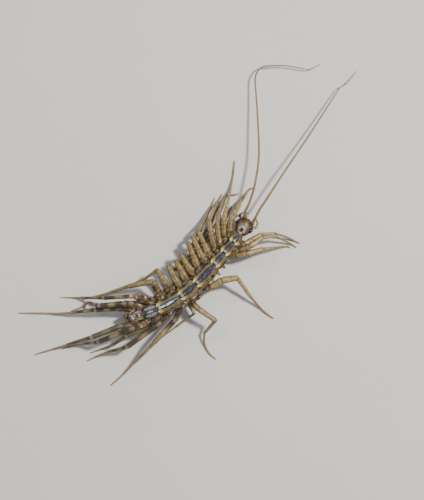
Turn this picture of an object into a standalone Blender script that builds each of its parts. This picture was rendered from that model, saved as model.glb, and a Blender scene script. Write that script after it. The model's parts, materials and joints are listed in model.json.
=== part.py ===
"""A house centipede at life size, standing still. It has fifteen pairs of leg stations,
and the fourth to seventh legs of its right side are lost, with healed stubs in their place.

Lengths below are millimetres in the animal's own frame: +X runs forward along the body,
+Y to the animal's left and +Z up from the ground at zero. The neck, where the head meets
the first back plate, is the zero of the plan. The finished pieces are in metres, moved so
that the middle of the whole outline stands over the origin.
"""

import math

import bmesh
import bpy
from mathutils import Vector

MM = 0.001

# Fit between neighbouring pieces
GAP = 0.3

# Trunk, from the neck to the tail
PLATE_LENGTHS = (1.7, 3.0, 3.2, 5.7, 4.3, 5.5, 4.7, 1.5)
LEGS_UNDER_PLATE = (1, 2, 2, 3, 2, 2, 2, 1)
FRONT_HEADING = 9.5
REAR_HEADING = -25.0
BEND_START = 7.0
BEND_END = 31.0
TRUNK_HEIGHT = 4.8
TRUNK_HALF_HEIGHT = 1.15
NECK_HALF_WIDTH = 1.2
MIDDLE_HALF_WIDTH = 1.75
TAIL_HALF_WIDTH = 1.1
WIDEST_AT = 12.5

# Back plates
PLATE_OVERHANG = 0.22
PLATE_RISE = 0.2
PLATE_CROWN = 0.75
PLATE_THICKNESS = 0.5
PLATE_NOTCH = 0.35
PLATE_COLUMNS = 8
PLATE_ROW_PITCH = 0.75

# Leg bases
HIP_HEIGHT = 4.5
HIP_REACH = 0.6
COXA_SWELL = 0.03
LOST_LEG_REACH = 0.25

# Head, in its own frame around its centre
HEAD_CENTRE = Vector((2.05, 0.75, 4.8))
HEAD_HEADING = 13.5
HEAD_RADII = Vector((1.95, 1.8, 1.2))
SOCKET_FORWARD = 1.6
SOCKET_APART = 1.0
SOCKET_HEIGHT = 0.4
SOCKET_REACH = 0.5
SOCKET_RADIUS = 0.48
EYE_FORWARD = 0.28
EYE_APART = 1.7
EYE_HEIGHT = 0.25
EYE_RADII = Vector((0.72, 0.38, 0.55))

# Legs: radius at the hip, the two knees, the ankle and the ground. One leg is stouter than
# its neighbours and one is more slender, but none is thinner than a foot. Some legs of the
# left side are swollen at the hip, so that they nearly touch there.
FRONT_LEG_RADII = (0.5, 0.38, 0.3, 0.25, 0.25)
REAR_LEG_RADII = (0.58, 0.54, 0.42, 0.3, 0.25)
FOOT_RADIUS = 0.25
STOUTNESS = {("right", 8): 1.2, ("right", 9): 0.8}
HIP_SWELL = 1.35
SWOLLEN_HIPS = {("left", number) for number in range(6, 13)}
TOE_RADIUS = 0.16
CORNER = 0.3
LEG_SIDES = 6

# Feelers
ANTENNA_BASE_RADIUS = 0.34
ANTENNA_RADIUS = 0.25
ANTENNA_TIP_RADIUS = 0.14

# Knees, ankle and route of the foot of every leg, as (forward, left, height).
# A height of zero lays that point of the foot flat on the ground.
LEG_ROUTES = {
    ("left", 1): ((0.9, 3.7, 6.3), (4.6, 5.2, 3.4), (6.7, 5.8, 0.9), (8.2, 6.2, 0), (9.4, 5.8, 0)),
    ("left", 2): ((-0.4, 4.5, 7.0), (1.8, 6.2, 5.6), (5.0, 8.7, 1.3), (7.4, 10.7, 0),
                  (10.0, 13.2, 0)),
    ("left", 3): ((-2.0, 4.6, 6.1), (0.0, 6.5, 4.6), (3.6, 8.4, 0.9), (5.0, 7.4, 0),
                  (6.2, 6.9, 0)),
    ("left", 4): ((-4.0, 4.6, 7.1), (-2.8, 6.4, 6.2), (0.1, 8.0, 2.2), (2.2, 8.9, 0),
                  (3.4, 9.4, 0)),
    ("left", 5): ((-6.0, 6.3, 6.3), (-3.4, 7.2, 3.4), (-1.5, 8.3, 1.0), (0.1, 9.0, 0),
                  (1.6, 9.7, 0)),
    ("left", 6): ((-7.7, 6.0, 6.6), (-5.5, 6.1, 2.6), (-4.3, 6.7, 0.8), (-2.8, 7.4, 0),
                  (-1.2, 8.2, 0)),
    ("left", 7): ((-9.2, 5.7, 6.1), (-8.6, 4.2, 2.5), (-7.3, 4.5, 0.8), (-5.8, 5.1, 0),
                  (-4.3, 5.5, 0), (-2.9, 5.9, 0), (-1.5, 6.6, 0), (-0.1, 7.3, 0), (1.2, 7.8, 0)),
    ("left", 8): ((-12.0, 4.9, 6.7), (-11.1, 3.5, 2.6), (-9.6, 3.6, 0.8), (-7.8, 4.0, 0),
                  (-6.1, 4.2, 0), (-4.4, 4.5, 0), (-2.9, 4.9, 0), (-1.4, 5.4, 0), (0.0, 6.2, 0),
                  (1.4, 6.9, 0), (2.6, 7.4, 0)),
    ("left", 9): ((-13.7, 4.5, 6.2), (-13.0, 3.1, 2.5), (-11.4, 2.9, 0.8), (-9.6, 3.1, 0),
                  (-7.8, 3.2, 0), (-6.0, 3.4, 0), (-4.4, 3.6, 0), (-2.8, 3.8, 0), (-1.3, 4.0, 0),
                  (0.2, 4.4, 0), (1.7, 5.2, 0), (3.2, 6.0, 0)),
    ("left", 10): ((-15.7, 4.7, 6.7), (-14.9, 3.0, 2.6), (-13.3, 2.3, 0.8), (-11.5, 2.2, 0),
                   (-9.7, 2.3, 0), (-7.9, 2.4, 0), (-6.1, 2.6, 0)),
    ("left", 11): ((-18.0, 5.6, 7.0), (-21.3, 5.9, 3.2), (-24.0, 6.7, 0.9), (-26.2, 7.4, 0),
                   (-28.6, 8.2, 0)),
    ("left", 12): ((-20.2, 4.3, 7.4), (-25.0, 6.9, 5.2), (-29.4, 8.6, 1.6), (-32.3, 10.0, 0),
                   (-34.9, 11.3, 0)),
    ("left", 13): ((-25.2, 4.4, 8.0), (-30.7, 8.4, 5.8), (-34.6, 11.7, 1.2), (-36.4, 13.2, 0),
                   (-38.2, 14.7, 0)),
    ("left", 14): ((-28.1, 4.7, 7.0), (-32.4, 7.7, 6.5), (-34.0, 9.9, 1.8), (-35.8, 10.0, 0),
                   (-38.3, 10.9, 0)),
    ("left", 15): ((-29.8, 4.8, 5.0), (-33.6, 7.6, 4.6), (-38.2, 10.5, 2.2), (-40.8, 12.4, 0.8),
                   (-43.0, 14.3, 0), (-47.2, 17.9, 0)),
    ("right", 1): ((4.0, -2.9, 3.7), (6.4, -4.6, 3.1), (7.9, -7.0, 1.4), (8.7, -8.8, 0),
                   (9.2, -10.0, 0)),
    ("right", 2): ((0.4, -3.3, 7.0), (3.8, -3.6, 6.4), (6.2, -5.3, 4.2), (7.3, -7.9, 1.2),
                   (7.8, -9.2, 0), (8.0, -10.2, 0)),
    ("right", 3): ((-1.2, -4.0, 6.4), (2.2, -5.5, 5.4), (4.3, -6.9, 2.4), (5.8, -7.9, 0.6),
                   (6.6, -8.5, 0), (7.0, -9.4, 0)),
    ("right", 8): ((-8.8, -5.0, 6.4), (-6.0, -6.7, 6.7), (-6.4, -11.6, 2.6), (-6.3, -15.6, 0),
                   (-5.6, -18.8, 0)),
    ("right", 9): ((-17.6, -4.4, 2.6), (-18.0, -6.7, 2.5), (-22.4, -6.4, 1.3), (-25.4, -6.2, 0.5),
                   (-28.0, -6.1, 0), (-30.6, -6.0, 0)),
    ("right", 10): ((-16.6, -6.4, 6.9), (-15.4, -10.7, 6.0), (-19.0, -11.3, 2.4),
                    (-20.5, -13.0, 0.7), (-21.1, -15.2, 0), (-20.8, -17.6, 0)),
    ("right", 11): ((-22.0, -5.0, 7.4), (-28.6, -5.9, 6.0), (-34.4, -6.5, 2.2), (-38.6, -6.9, 0),
                    (-42.2, -7.0, 0)),
    ("right", 12): ((-25.2, -3.5, 7.2), (-33.6, -2.9, 5.2), (-37.6, -1.0, 2.4), (-40.6, -0.1, 0),
                    (-42.6, 0.4, 0)),
    ("right", 13): ((-27.2, -2.9, 3.7), (-32.2, -0.9, 4.2), (-35.8, -0.6, 2.6), (-38.8, 0.5, 0),
                    (-41.0, 1.3, 0)),
    ("right", 14): ((-30.2, -0.5, 7.9), (-37.6, 1.9, 5.0), (-40.6, 3.7, 1.8), (-42.6, 4.8, 0),
                    (-45.0, 5.9, 0)),
    ("right", 15): ((-31.8, 1.5, 6.2), (-38.0, 3.6, 6.0), (-43.4, 5.8, 2.0), (-47.0, 7.3, 0),
                    (-50.5, 8.8, 0)),
}

# Routes of the feelers from the sockets on the head to their tips
ANTENNA_ROUTES = {
    "left": ((4.6, 3.2, 5.9), (6.6, 4.1, 6.4), (10.0, 6.4, 6.6), (14.5, 10.5, 5.8),
             (19.3, 16.6, 4.6), (22.7, 21.2, 3.6), (24.5, 23.6, 3.1), (26.1, 24.5, 2.8),
             (27.8, 24.3, 2.5), (31.2, 21.7, 2.0), (33.9, 18.6, 1.6), (35.2, 17.5, 1.4),
             (37.4, 17.0, 1.2)),
    "right": ((5.4, 0.7, 6.1), (7.3, 1.5, 6.5), (9.7, 2.2, 6.6), (16.6, 4.3, 6.0),
              (25.4, 6.8, 4.4), (35.1, 9.8, 2.6), (37.3, 10.4, 2.2), (39.1, 10.2, 1.9),
              (42.5, 10.8, 1.4)),
}

# Routes of the mouth limbs in the head's frame, for the left side
PALP_ROUTE = ((0.9, 0.95, -1.42), (1.2, 1.5, -1.8), (1.5, 2.3, -1.85), (2.6, 1.9, -2.0),
              (3.1, 0.8, -2.4))
FORCIPULE_ROUTE = ((-0.9, 0.7, -1.52), (-0.75, 1.1, -2.1), (0.2, 1.6, -2.6), (1.4, 1.3, -2.9),
                   (2.0, 0.3, -3.1))
PALP_RADII = (0.3, 0.3, 0.28, 0.26, 0.16)
FORCIPULE_RADII = (0.45, 0.5, 0.45, 0.32, 0.12)

# Finishes: colour, roughness and metallic value
FINISHES = {
    "head": ((0.25, 0.115, 0.035), 0.3, 0.0),
    "eye": ((0.018, 0.011, 0.008), 0.25, 0.0),
    "trunk": ((0.16, 0.115, 0.055), 0.35, 0.0),
    "leg": ((0.33, 0.205, 0.06), 0.4, 0.0),
    "banded_leg": ((0.14, 0.115, 0.045), 0.4, 0.0),
    "antenna": ((0.36, 0.2, 0.055), 0.45, 0.0),
    "mouth": ((0.28, 0.14, 0.045), 0.35, 0.0),
}
FIRST_BANDED_LEG = 12


# Small helpers

def smooth_step(value):
    value = min(max(value, 0.0), 1.0)
    return value * value * (3.0 - 2.0 * value)


def side_sign(side):
    return 1.0 if side == "left" else -1.0


def clear_scene():
    for item in list(bpy.data.objects):
        bpy.data.objects.remove(item, do_unlink=True)


def finish(name):
    colour, roughness, metallic = FINISHES[name]
    material = bpy.data.materials.get(name) or bpy.data.materials.new(name)
    material.use_nodes = True
    shader = material.node_tree.nodes["Principled BSDF"]
    shader.inputs["Base Color"].default_value = (*colour, 1.0)
    shader.inputs["Roughness"].default_value = roughness
    shader.inputs["Metallic"].default_value = metallic
    return material


def solid(name, points, faces, finish_name):
    """One closed object from points in millimetres."""
    mesh = bpy.data.meshes.new(name)
    mesh.from_pydata([point * MM for point in points], [], faces)
    work = bmesh.new()
    work.from_mesh(mesh)
    bmesh.ops.recalc_face_normals(work, faces=work.faces)
    work.to_mesh(mesh)
    work.free()
    mesh.shade_smooth()
    mesh.set_sharp_from_angle(angle=math.radians(40))
    mesh.materials.append(finish(finish_name))
    piece = bpy.data.objects.new(name, mesh)
    bpy.context.scene.collection.objects.link(piece)
    return piece


# Joining and cutting

def keep_largest_shell(mesh):
    work = bmesh.new()
    work.from_mesh(mesh)
    unseen = set(work.verts)
    shells = []
    while unseen:
        seed = unseen.pop()
        shell = {seed}
        front = [seed]
        while front:
            vertex = front.pop()
            for edge in vertex.link_edges:
                other = edge.other_vert(vertex)
                if other not in shell:
                    shell.add(other)
                    front.append(other)
        unseen -= shell
        shells.append(shell)
    largest = max(shells, key=len)
    spare = [vertex for vertex in work.verts if vertex not in largest]
    bmesh.ops.delete(work, geom=spare, context="VERTS")
    work.to_mesh(mesh)
    work.free()


def combine(base, others, operation):
    """Unite or cut the base with the other closed objects, which are then removed."""
    group = bpy.data.collections.new(base.name + "_pieces")
    bpy.context.scene.collection.children.link(group)
    for other in others:
        bpy.context.scene.collection.objects.unlink(other)
        group.objects.link(other)
    modifier = base.modifiers.new("join", "BOOLEAN")
    modifier.operation = operation
    modifier.operand_type = "COLLECTION"
    modifier.collection = group
    modifier.solver = "EXACT"
    context = bpy.context.evaluated_depsgraph_get()
    joined = bpy.data.meshes.new_from_object(base.evaluated_get(context))
    base.modifiers.clear()
    base.data = joined
    for other in others:
        bpy.data.objects.remove(other, do_unlink=True)
    bpy.data.collections.remove(group)
    keep_largest_shell(joined)
    joined.name = base.name
    return base


# Shapes

def loft(name, rings, finish_name):
    """A closed body through rings of equally many points, with a flat cap at each end."""
    count = len(rings[0])
    points = [point for ring in rings for point in ring]
    faces = [tuple(reversed(range(count)))]
    for row in range(len(rings) - 1):
        for column in range(count):
            after = (column + 1) % count
            low = row * count
            high = low + count
            faces.append((low + column, low + after, high + after, high + column))
    last = (len(rings) - 1) * count
    faces.append(tuple(last + column for column in range(count)))
    return solid(name, points, faces, finish_name)


def mitred_tube(name, route, sides, finish_name):
    """A tube along (x, y, z, radius) stations, mitred at each bend.

    The first ring stands with one flat side down, so a level stretch lies on a flat.
    """
    centres = [station.to_3d() for station in route]
    radii = [station.w for station in route]
    steps = [(after - before).normalized() for before, after in zip(centres, centres[1:])]
    across = steps[0].cross(Vector((0, 0, 1))).normalized()
    upward = across.cross(steps[0])
    ring = []
    for index in range(sides):
        angle = 2 * math.pi * (index + 0.5) / sides - math.pi / 2
        ring.append(centres[0] + radii[0] * (math.cos(angle) * across + math.sin(angle) * upward))
    rings = [ring]
    for index in range(1, len(centres)):
        step = steps[index - 1]
        following = steps[min(index, len(steps) - 1)]
        plane = (step + following).normalized()
        growth = radii[index] / radii[index - 1]
        ring = []
        for point in rings[-1]:
            grown = centres[index - 1] + (point - centres[index - 1]) * growth
            travel = (centres[index] - grown).dot(plane) / step.dot(plane)
            ring.append(grown + step * travel)
        rings.append(ring)
    rings = [[settle(point) for point in ring] for ring in rings]
    return loft(name, rings, finish_name)


def settle(point):
    """Put a point that is a hair off the ground exactly on it."""
    return Vector((point.x, point.y, 0.0)) if point.z < 0.03 else point


def round_corners(route, reach):
    """Give each sharp turn of a route two stations close to the corner instead of one."""
    eased = [route[0]]
    for before, corner, after in zip(route, route[1:], route[2:]):
        back = before - corner
        ahead = after - corner
        turn = math.degrees(math.pi - back.to_3d().angle(ahead.to_3d()))
        if turn < 20:
            eased.append(corner)
            continue
        near = corner + back * (reach / back.to_3d().length)
        far = corner + ahead * (reach / ahead.to_3d().length)
        eased.extend((near, corner * 0.5 + (near + far) * 0.25, far))
    eased.append(route[-1])
    return eased


def flowing(route, parts):
    """A smooth curve through the stations, with this many parts between each two."""
    curve = []
    padded = [route[0] * 2 - route[1], *route, route[-1] * 2 - route[-2]]
    for index in range(1, len(padded) - 2):
        before, start, end, after = padded[index - 1:index + 3]
        for part in range(parts):
            t = part / parts
            curve.append(0.5 * (2 * start + (end - before) * t
                                + (2 * before - 5 * start + 4 * end - after) * t ** 2
                                + (3 * start - before - 3 * end + after) * t ** 3))
    curve.append(route[-1])
    return curve


def ellipsoid(name, centre, radii, axes, finish_name, segments=12, layers=8, boxiness=1.0):
    """A closed egg; boxiness under one makes its sections squarer."""
    def power(value):
        return math.copysign(abs(value) ** boxiness, value)

    points = []
    for layer in range(1, layers):
        polar = math.pi * layer / layers
        for segment in range(segments):
            around = 2 * math.pi * segment / segments
            local = (power(math.cos(polar)),
                     power(math.sin(polar)) * power(math.cos(around)),
                     power(math.sin(polar)) * power(math.sin(around)))
            points.append(centre + sum((axis * radius * part for axis, radius, part
                                        in zip(axes, radii, local)), Vector()))
    points.append(centre + axes[0] * radii[0])
    points.append(centre - axes[0] * radii[0])
    front, back = len(points) - 2, len(points) - 1
    faces = []
    for segment in range(segments):
        after = (segment + 1) % segments
        faces.append((front, segment, after))
        last = (layers - 2) * segments
        faces.append((back, last + after, last + segment))
        for layer in range(layers - 2):
            low = layer * segments
            high = low + segments
            faces.append((low + segment, high + segment, high + after, low + after))
    return solid(name, points, faces, finish_name)


# The spine, measured backwards from the neck

def spine_heading(distance):
    bend = smooth_step((distance - BEND_START) / (BEND_END - BEND_START))
    return math.radians(FRONT_HEADING + (REAR_HEADING - FRONT_HEADING) * bend)


def spine_frame(distance):
    """The point of the spine, and the directions forward and left there."""
    point = Vector((0.0, 0.0, TRUNK_HEIGHT))
    steps = max(1, math.ceil(distance / 0.25))
    for step in range(steps):
        middle = distance * (step + 0.5) / steps
        heading = spine_heading(middle)
        point -= Vector((math.cos(heading), math.sin(heading), 0.0)) * (distance / steps)
    heading = spine_heading(distance)
    forward = Vector((math.cos(heading), math.sin(heading), 0.0))
    left = Vector((-math.sin(heading), math.cos(heading), 0.0))
    return point, forward, left


def trunk_half_width(distance):
    if distance < WIDEST_AT:
        share = smooth_step(distance / WIDEST_AT)
        return NECK_HALF_WIDTH + (MIDDLE_HALF_WIDTH - NECK_HALF_WIDTH) * share
    share = smooth_step((distance - WIDEST_AT) / (sum(PLATE_LENGTHS) - WIDEST_AT))
    return MIDDLE_HALF_WIDTH + (TAIL_HALF_WIDTH - MIDDLE_HALF_WIDTH) * share


def plate_start(index):
    return sum(PLATE_LENGTHS[:index])


def leg_stations():
    """The number of each pair of legs and its distance behind the neck, plate by plate."""
    stations = {}
    for index, count in enumerate(LEGS_UNDER_PLATE):
        for place in range(count):
            share = (place + 0.5) / count
            distance = plate_start(index) + share * PLATE_LENGTHS[index]
            stations[len(stations) + 1] = (index, distance)
    return stations


def hip(side, number):
    """The hip point and the direction in which the leg leaves it."""
    index, distance = leg_stations()[number]
    point, forward, left = spine_frame(distance)
    outward = left * side_sign(side)
    place = point + outward * (trunk_half_width(distance) + HIP_REACH)
    place.z = HIP_HEIGHT
    if (side, number) not in LEG_ROUTES:
        return place, outward
    aim = Vector(LEG_ROUTES[side, number][0]) - place
    return place, (outward * 1.4 + aim.normalized()).normalized()


# Pieces of the trunk

def trunk_core(index):
    start = plate_start(index) + GAP / 2
    end = plate_start(index + 1) - GAP / 2
    rows = max(3, round((end - start) / 0.9) + 1)
    rings = []
    for row in range(rows):
        share = row / (rows - 1)
        distance = start + share * (end - start)
        waist = 0.86 + 0.14 * math.sin(math.pi * share)
        point, forward, left = spine_frame(distance)
        width = trunk_half_width(distance) * waist
        height = TRUNK_HALF_HEIGHT * waist
        ring = []
        for corner in range(12):
            angle = 2 * math.pi * (corner + 0.5) / 12
            ring.append(point + left * width * math.cos(angle)
                        + Vector((0, 0, height * math.sin(angle))))
        rings.append(ring)
    return loft(f"trunk_{index + 1}", rings, "trunk")


def plate_half_width(distance, share):
    """Outline of a back plate: rounded in front, broadest behind its middle."""
    rounding = 0.8 + 0.2 * math.sin(math.pi * min(1.0, share * 0.75 + 0.25))
    return (trunk_half_width(distance) + PLATE_OVERHANG) * rounding


def back_plate(index):
    """A curved shield with a notch in the middle of its hind edge."""
    start = plate_start(index) + GAP / 2
    length = PLATE_LENGTHS[index] - GAP
    rows = max(3, round(length / PLATE_ROW_PITCH) + 1)
    top_rows = []
    for row in range(rows):
        share = row / (rows - 1)
        line = []
        for column in range(PLATE_COLUMNS + 1):
            across = 2 * column / PLATE_COLUMNS - 1
            notch = PLATE_NOTCH * share ** 3 * (1 - abs(across)) ** 2
            distance = start + share * length - notch
            point, forward, left = spine_frame(distance)
            half_width = plate_half_width(distance, share)
            height = TRUNK_HALF_HEIGHT + PLATE_RISE - PLATE_CROWN * across ** 2
            line.append(point + left * half_width * across + Vector((0, 0, height)))
        top_rows.append(line)
    rings = []
    drop = Vector((0, 0, -PLATE_THICKNESS))
    for line in top_rows:
        rings.append(line + [point + drop for point in reversed(line)])
    return loft(f"plate_{index + 1}", rings, "trunk")


def coxa(side, number):
    """The stub on the trunk that carries a leg, or the healed stub of a lost one."""
    place, direction = hip(side, number)
    lost = (side, number) not in LEG_ROUTES
    index, distance = leg_stations()[number]
    root, forward, left = spine_frame(distance)
    root = root + left * side_sign(side) * 0.5
    root.z = HIP_HEIGHT
    hip_radius = leg_radii(side, number)[0]
    end = place - direction * (GAP / 2)
    knuckle = place - direction * 0.45
    if lost:
        end = place + direction * LOST_LEG_REACH
        knuckle = place
    coxa_radius = hip_radius + COXA_SWELL
    end_radius = 0.3 if lost else hip_radius
    route = [Vector((*root, coxa_radius)), Vector((*knuckle, coxa_radius)),
             Vector((*end, end_radius))]
    return mitred_tube(f"coxa_{side}_{number}", route, 8, "trunk")


def make_trunk():
    for index in range(len(PLATE_LENGTHS)):
        others = [back_plate(index)]
        for number, (plate, distance) in leg_stations().items():
            if plate == index:
                others.extend((coxa("left", number), coxa("right", number)))
        combine(trunk_core(index), others, "UNION")


def make_tail():
    """The last ring of the body and the two lobes behind it."""
    length = sum(PLATE_LENGTHS)
    point, forward, left = spine_frame(length)
    up = Vector((0, 0, 1))
    centre = point - forward * (GAP / 2 + 0.42)
    axes = (forward, left, up)
    base = ellipsoid("tail", centre, (0.42, 0.8, 0.75), axes, "trunk", 10, 6)
    lobes = []
    for side in ("left", "right"):
        place = centre - forward * 0.6 + left * side_sign(side) * 0.5
        lobes.append(ellipsoid(f"lobe_{side}", place, (0.55, 0.42, 0.42), axes, "trunk", 8, 6))
    combine(base, lobes, "UNION")


# Pieces of the head

def head_axes():
    heading = math.radians(HEAD_HEADING)
    forward = Vector((math.cos(heading), math.sin(heading), 0.0))
    left = Vector((-math.sin(heading), math.cos(heading), 0.0))
    return forward, left, Vector((0, 0, 1))


def head_point(forward, left, up):
    axes = head_axes()
    return HEAD_CENTRE + axes[0] * forward + axes[1] * left + axes[2] * up


def eye_centre(side):
    return head_point(EYE_FORWARD, EYE_APART * side_sign(side), EYE_HEIGHT)


def antenna_socket(side):
    """The middle of a socket's rim and the direction in which the feeler leaves it."""
    place = head_point(SOCKET_FORWARD, SOCKET_APART * side_sign(side), SOCKET_HEIGHT)
    first = Vector(ANTENNA_ROUTES[side][0])
    direction = (first - place).normalized()
    return place + direction * SOCKET_REACH, direction


def make_head():
    base = ellipsoid("head", HEAD_CENTRE, HEAD_RADII, head_axes(), "head", 20, 14, 0.88)
    additions = []
    for side in ("left", "right"):
        rim, direction = antenna_socket(side)
        inside = rim - direction * 1.1
        end = rim - direction * (GAP / 2)
        route = [Vector((*inside, SOCKET_RADIUS)), Vector((*end, SOCKET_RADIUS * 0.9))]
        additions.append(mitred_tube(f"socket_{side}", route, 10, "head"))
    lip = head_point(1.5, 0.0, -0.55)
    additions.append(ellipsoid("lip", lip, (0.75, 0.95, 0.55), head_axes(), "head", 10, 8))
    combine(base, additions, "UNION")
    hollows = []
    for side in ("left", "right"):
        radii = [radius + GAP for radius in EYE_RADII]
        hollows.append(ellipsoid(f"hollow_{side}", eye_centre(side), radii, head_axes(), "head",
                                 14, 10))
    combine(base, hollows, "DIFFERENCE")


def make_eyes():
    for side in ("left", "right"):
        ellipsoid(f"eye_{side}", eye_centre(side), EYE_RADII, head_axes(), "eye", 14, 10)


def make_antenna(side):
    rim, direction = antenna_socket(side)
    stations = [rim + direction * (GAP / 2), rim + direction * 0.7]
    stations += [Vector(point) for point in ANTENNA_ROUTES[side]]
    last = len(stations) - 1
    route = []
    for index, station in enumerate(stations):
        share = min(1.0, index / 4)
        radius = ANTENNA_BASE_RADIUS + (ANTENNA_RADIUS - ANTENNA_BASE_RADIUS) * share
        radius = ANTENNA_TIP_RADIUS if index == last else radius
        route.append(Vector((*station, radius)))
    route = flowing(route, 3)
    route.reverse()
    mitred_tube(f"antenna_{side}", route, 6, "antenna")


def mouth_limb(name, side, stations, radii):
    sign = side_sign(side)
    route = []
    for (forward, left, up), radius in zip(stations, radii):
        route.append(Vector((*head_point(forward, left * sign, up), radius)))
    mitred_tube(name, flowing(route, 3), 8, "mouth")


def make_mouth():
    for side in ("left", "right"):
        mouth_limb(f"palp_{side}", side, PALP_ROUTE, PALP_RADII)
        mouth_limb(f"forcipule_{side}", side, FORCIPULE_ROUTE, FORCIPULE_RADII)


# Legs

def leg_radii(side, number):
    share = (number - 1) / (len(leg_stations()) - 1)
    growth = STOUTNESS.get((side, number), 1.0)
    radii = [max(FOOT_RADIUS, (front + (rear - front) * share) * growth)
             for front, rear in zip(FRONT_LEG_RADII, REAR_LEG_RADII)]
    if (side, number) in SWOLLEN_HIPS:
        radii[0] *= HIP_SWELL
    return radii


def resting_height(radius):
    """Height of a tube's centre when its flat side lies on the ground."""
    return radius * math.cos(math.pi / LEG_SIDES)


def make_leg(side, number):
    place, direction = hip(side, number)
    radii = leg_radii(side, number)
    start = place + direction * (GAP / 2)
    knuckle = place + direction * 0.55
    route = [Vector((*start, radii[0])), Vector((*knuckle, radii[0]))]
    for index, (x, y, z) in enumerate(LEG_ROUTES[side, number]):
        radius = radii[min(index + 1, len(radii) - 1)]
        height = z if z > 0 else resting_height(radius)
        route.append(Vector((x, y, height, radius)))
    toe = route[-1].copy()
    toe.w = TOE_RADIUS
    toe.z = resting_height(TOE_RADIUS)
    back = (route[-2] - route[-1]).normalized() * 0.5
    route[-1] = Vector((route[-1].x + back.x, route[-1].y + back.y, route[-1].z, radii[-1]))
    ankle = 4
    crisp = round_corners(route[:ankle + 1], CORNER)
    foot = flowing(route[ankle:], 2)
    route = crisp + foot[1:] + [toe]
    route.reverse()
    name = "banded_leg" if number >= FIRST_BANDED_LEG else "leg"
    mitred_tube(f"leg_{side}_{number:02d}", route, LEG_SIDES, name)


def centre_over_origin():
    """Move all pieces together so that the middle of their outline is over the origin."""
    pieces = [item for item in bpy.data.objects if item.type == "MESH"]
    corners = [vertex.co for piece in pieces for vertex in piece.data.vertices]
    middle_x = (min(corner.x for corner in corners) + max(corner.x for corner in corners)) / 2
    middle_y = (min(corner.y for corner in corners) + max(corner.y for corner in corners)) / 2
    for piece in pieces:
        for vertex in piece.data.vertices:
            vertex.co.x -= middle_x
            vertex.co.y -= middle_y


def main():
    clear_scene()
    make_trunk()
    make_tail()
    make_head()
    make_eyes()
    make_mouth()
    for side in ("left", "right"):
        make_antenna(side)
    for side, number in LEG_ROUTES:
        make_leg(side, number)
    centre_over_origin()


main()
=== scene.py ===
"""The looks of a house centipede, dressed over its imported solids.

Lengths are millimetres in the animal's own frame, as in the part's source: +X runs forward
along the body, +Y to the animal's left and +Z up from the ground at zero. The neck is the
zero of the plan. place() turns such a point into metres in the shared frame.
"""

import json
import random
from functools import partialmethod
from math import cos, exp, hypot, pi, radians, sin, sqrt

import bpy
from mathutils import Matrix, Vector
from mathutils.kdtree import KDTree

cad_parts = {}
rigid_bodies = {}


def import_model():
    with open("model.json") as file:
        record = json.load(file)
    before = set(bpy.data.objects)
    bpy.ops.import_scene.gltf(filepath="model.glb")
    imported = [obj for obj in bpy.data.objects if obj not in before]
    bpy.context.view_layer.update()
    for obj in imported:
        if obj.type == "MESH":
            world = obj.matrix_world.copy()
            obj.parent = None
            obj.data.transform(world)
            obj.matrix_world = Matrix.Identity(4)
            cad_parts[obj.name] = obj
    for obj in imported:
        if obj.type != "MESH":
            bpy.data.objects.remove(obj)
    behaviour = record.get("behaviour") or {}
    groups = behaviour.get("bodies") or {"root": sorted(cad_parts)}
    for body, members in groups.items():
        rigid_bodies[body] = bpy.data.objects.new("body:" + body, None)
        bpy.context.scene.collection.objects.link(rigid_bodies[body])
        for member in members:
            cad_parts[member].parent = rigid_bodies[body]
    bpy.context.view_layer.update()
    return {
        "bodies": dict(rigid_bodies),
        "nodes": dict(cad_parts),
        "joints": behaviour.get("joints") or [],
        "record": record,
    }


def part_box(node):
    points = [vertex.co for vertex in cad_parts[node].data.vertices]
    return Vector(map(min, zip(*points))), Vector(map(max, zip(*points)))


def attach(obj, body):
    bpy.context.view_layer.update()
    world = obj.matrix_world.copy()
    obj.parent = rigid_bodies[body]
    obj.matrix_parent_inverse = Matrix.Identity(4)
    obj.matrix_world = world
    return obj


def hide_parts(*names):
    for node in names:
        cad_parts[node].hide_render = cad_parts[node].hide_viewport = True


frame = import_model()

MM = 0.001
UP = Vector((0, 0, 1))
SIGN = {"left": 1.0, "right": -1.0}


def both_sides(left, right):
    """Two tables by leg number as one table by (side, number)."""
    return {**{("left", number): value for number, value in left.items()},
            **{("right", number): value for number, value in right.items()}}


# Trunk, from the neck to the tail
PLATE_LENGTHS = (1.7, 3.0, 3.2, 5.7, 4.3, 5.5, 4.7, 1.5)
LEGS_UNDER_PLATE = (1, 2, 2, 3, 2, 2, 2, 1)
TRUNK_LENGTH = sum(PLATE_LENGTHS)
FRONT_HEADING = 9.5
REAR_HEADING = -25.0
BEND_START = 7.0
BEND_END = 31.0
TRUNK_HEIGHT = 4.8
TRUNK_HALF_HEIGHT = 1.15
NECK_HALF_WIDTH = 1.2
MIDDLE_HALF_WIDTH = 1.75
TAIL_HALF_WIDTH = 1.1
WIDEST_AT = 12.5
SPINE_STEP = 0.05

# The skin between the plates
NECK_REACH = 0.7
TAIL_REACH = 0.55
TRUNK_STEPS = 160
SKIN_VOXEL = 0.085

# Back plates, and how each is painted from the first to the last
PLATE_OVERHANG = 0.22
PLATE_RISE = 0.2
PLATE_CROWN = 0.75
PLATE_THICKNESS = 0.16
PLATE_OVERLAP = 0.22
PLATE_ROW = 0.09
PLATE_COLUMNS = 44
NOTCH_DEPTH = 0.34
NOTCH_HALF_WIDTH = 0.2
SLIT_LENGTH = 0.55
CUSHIONED_PLATE = 6
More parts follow.
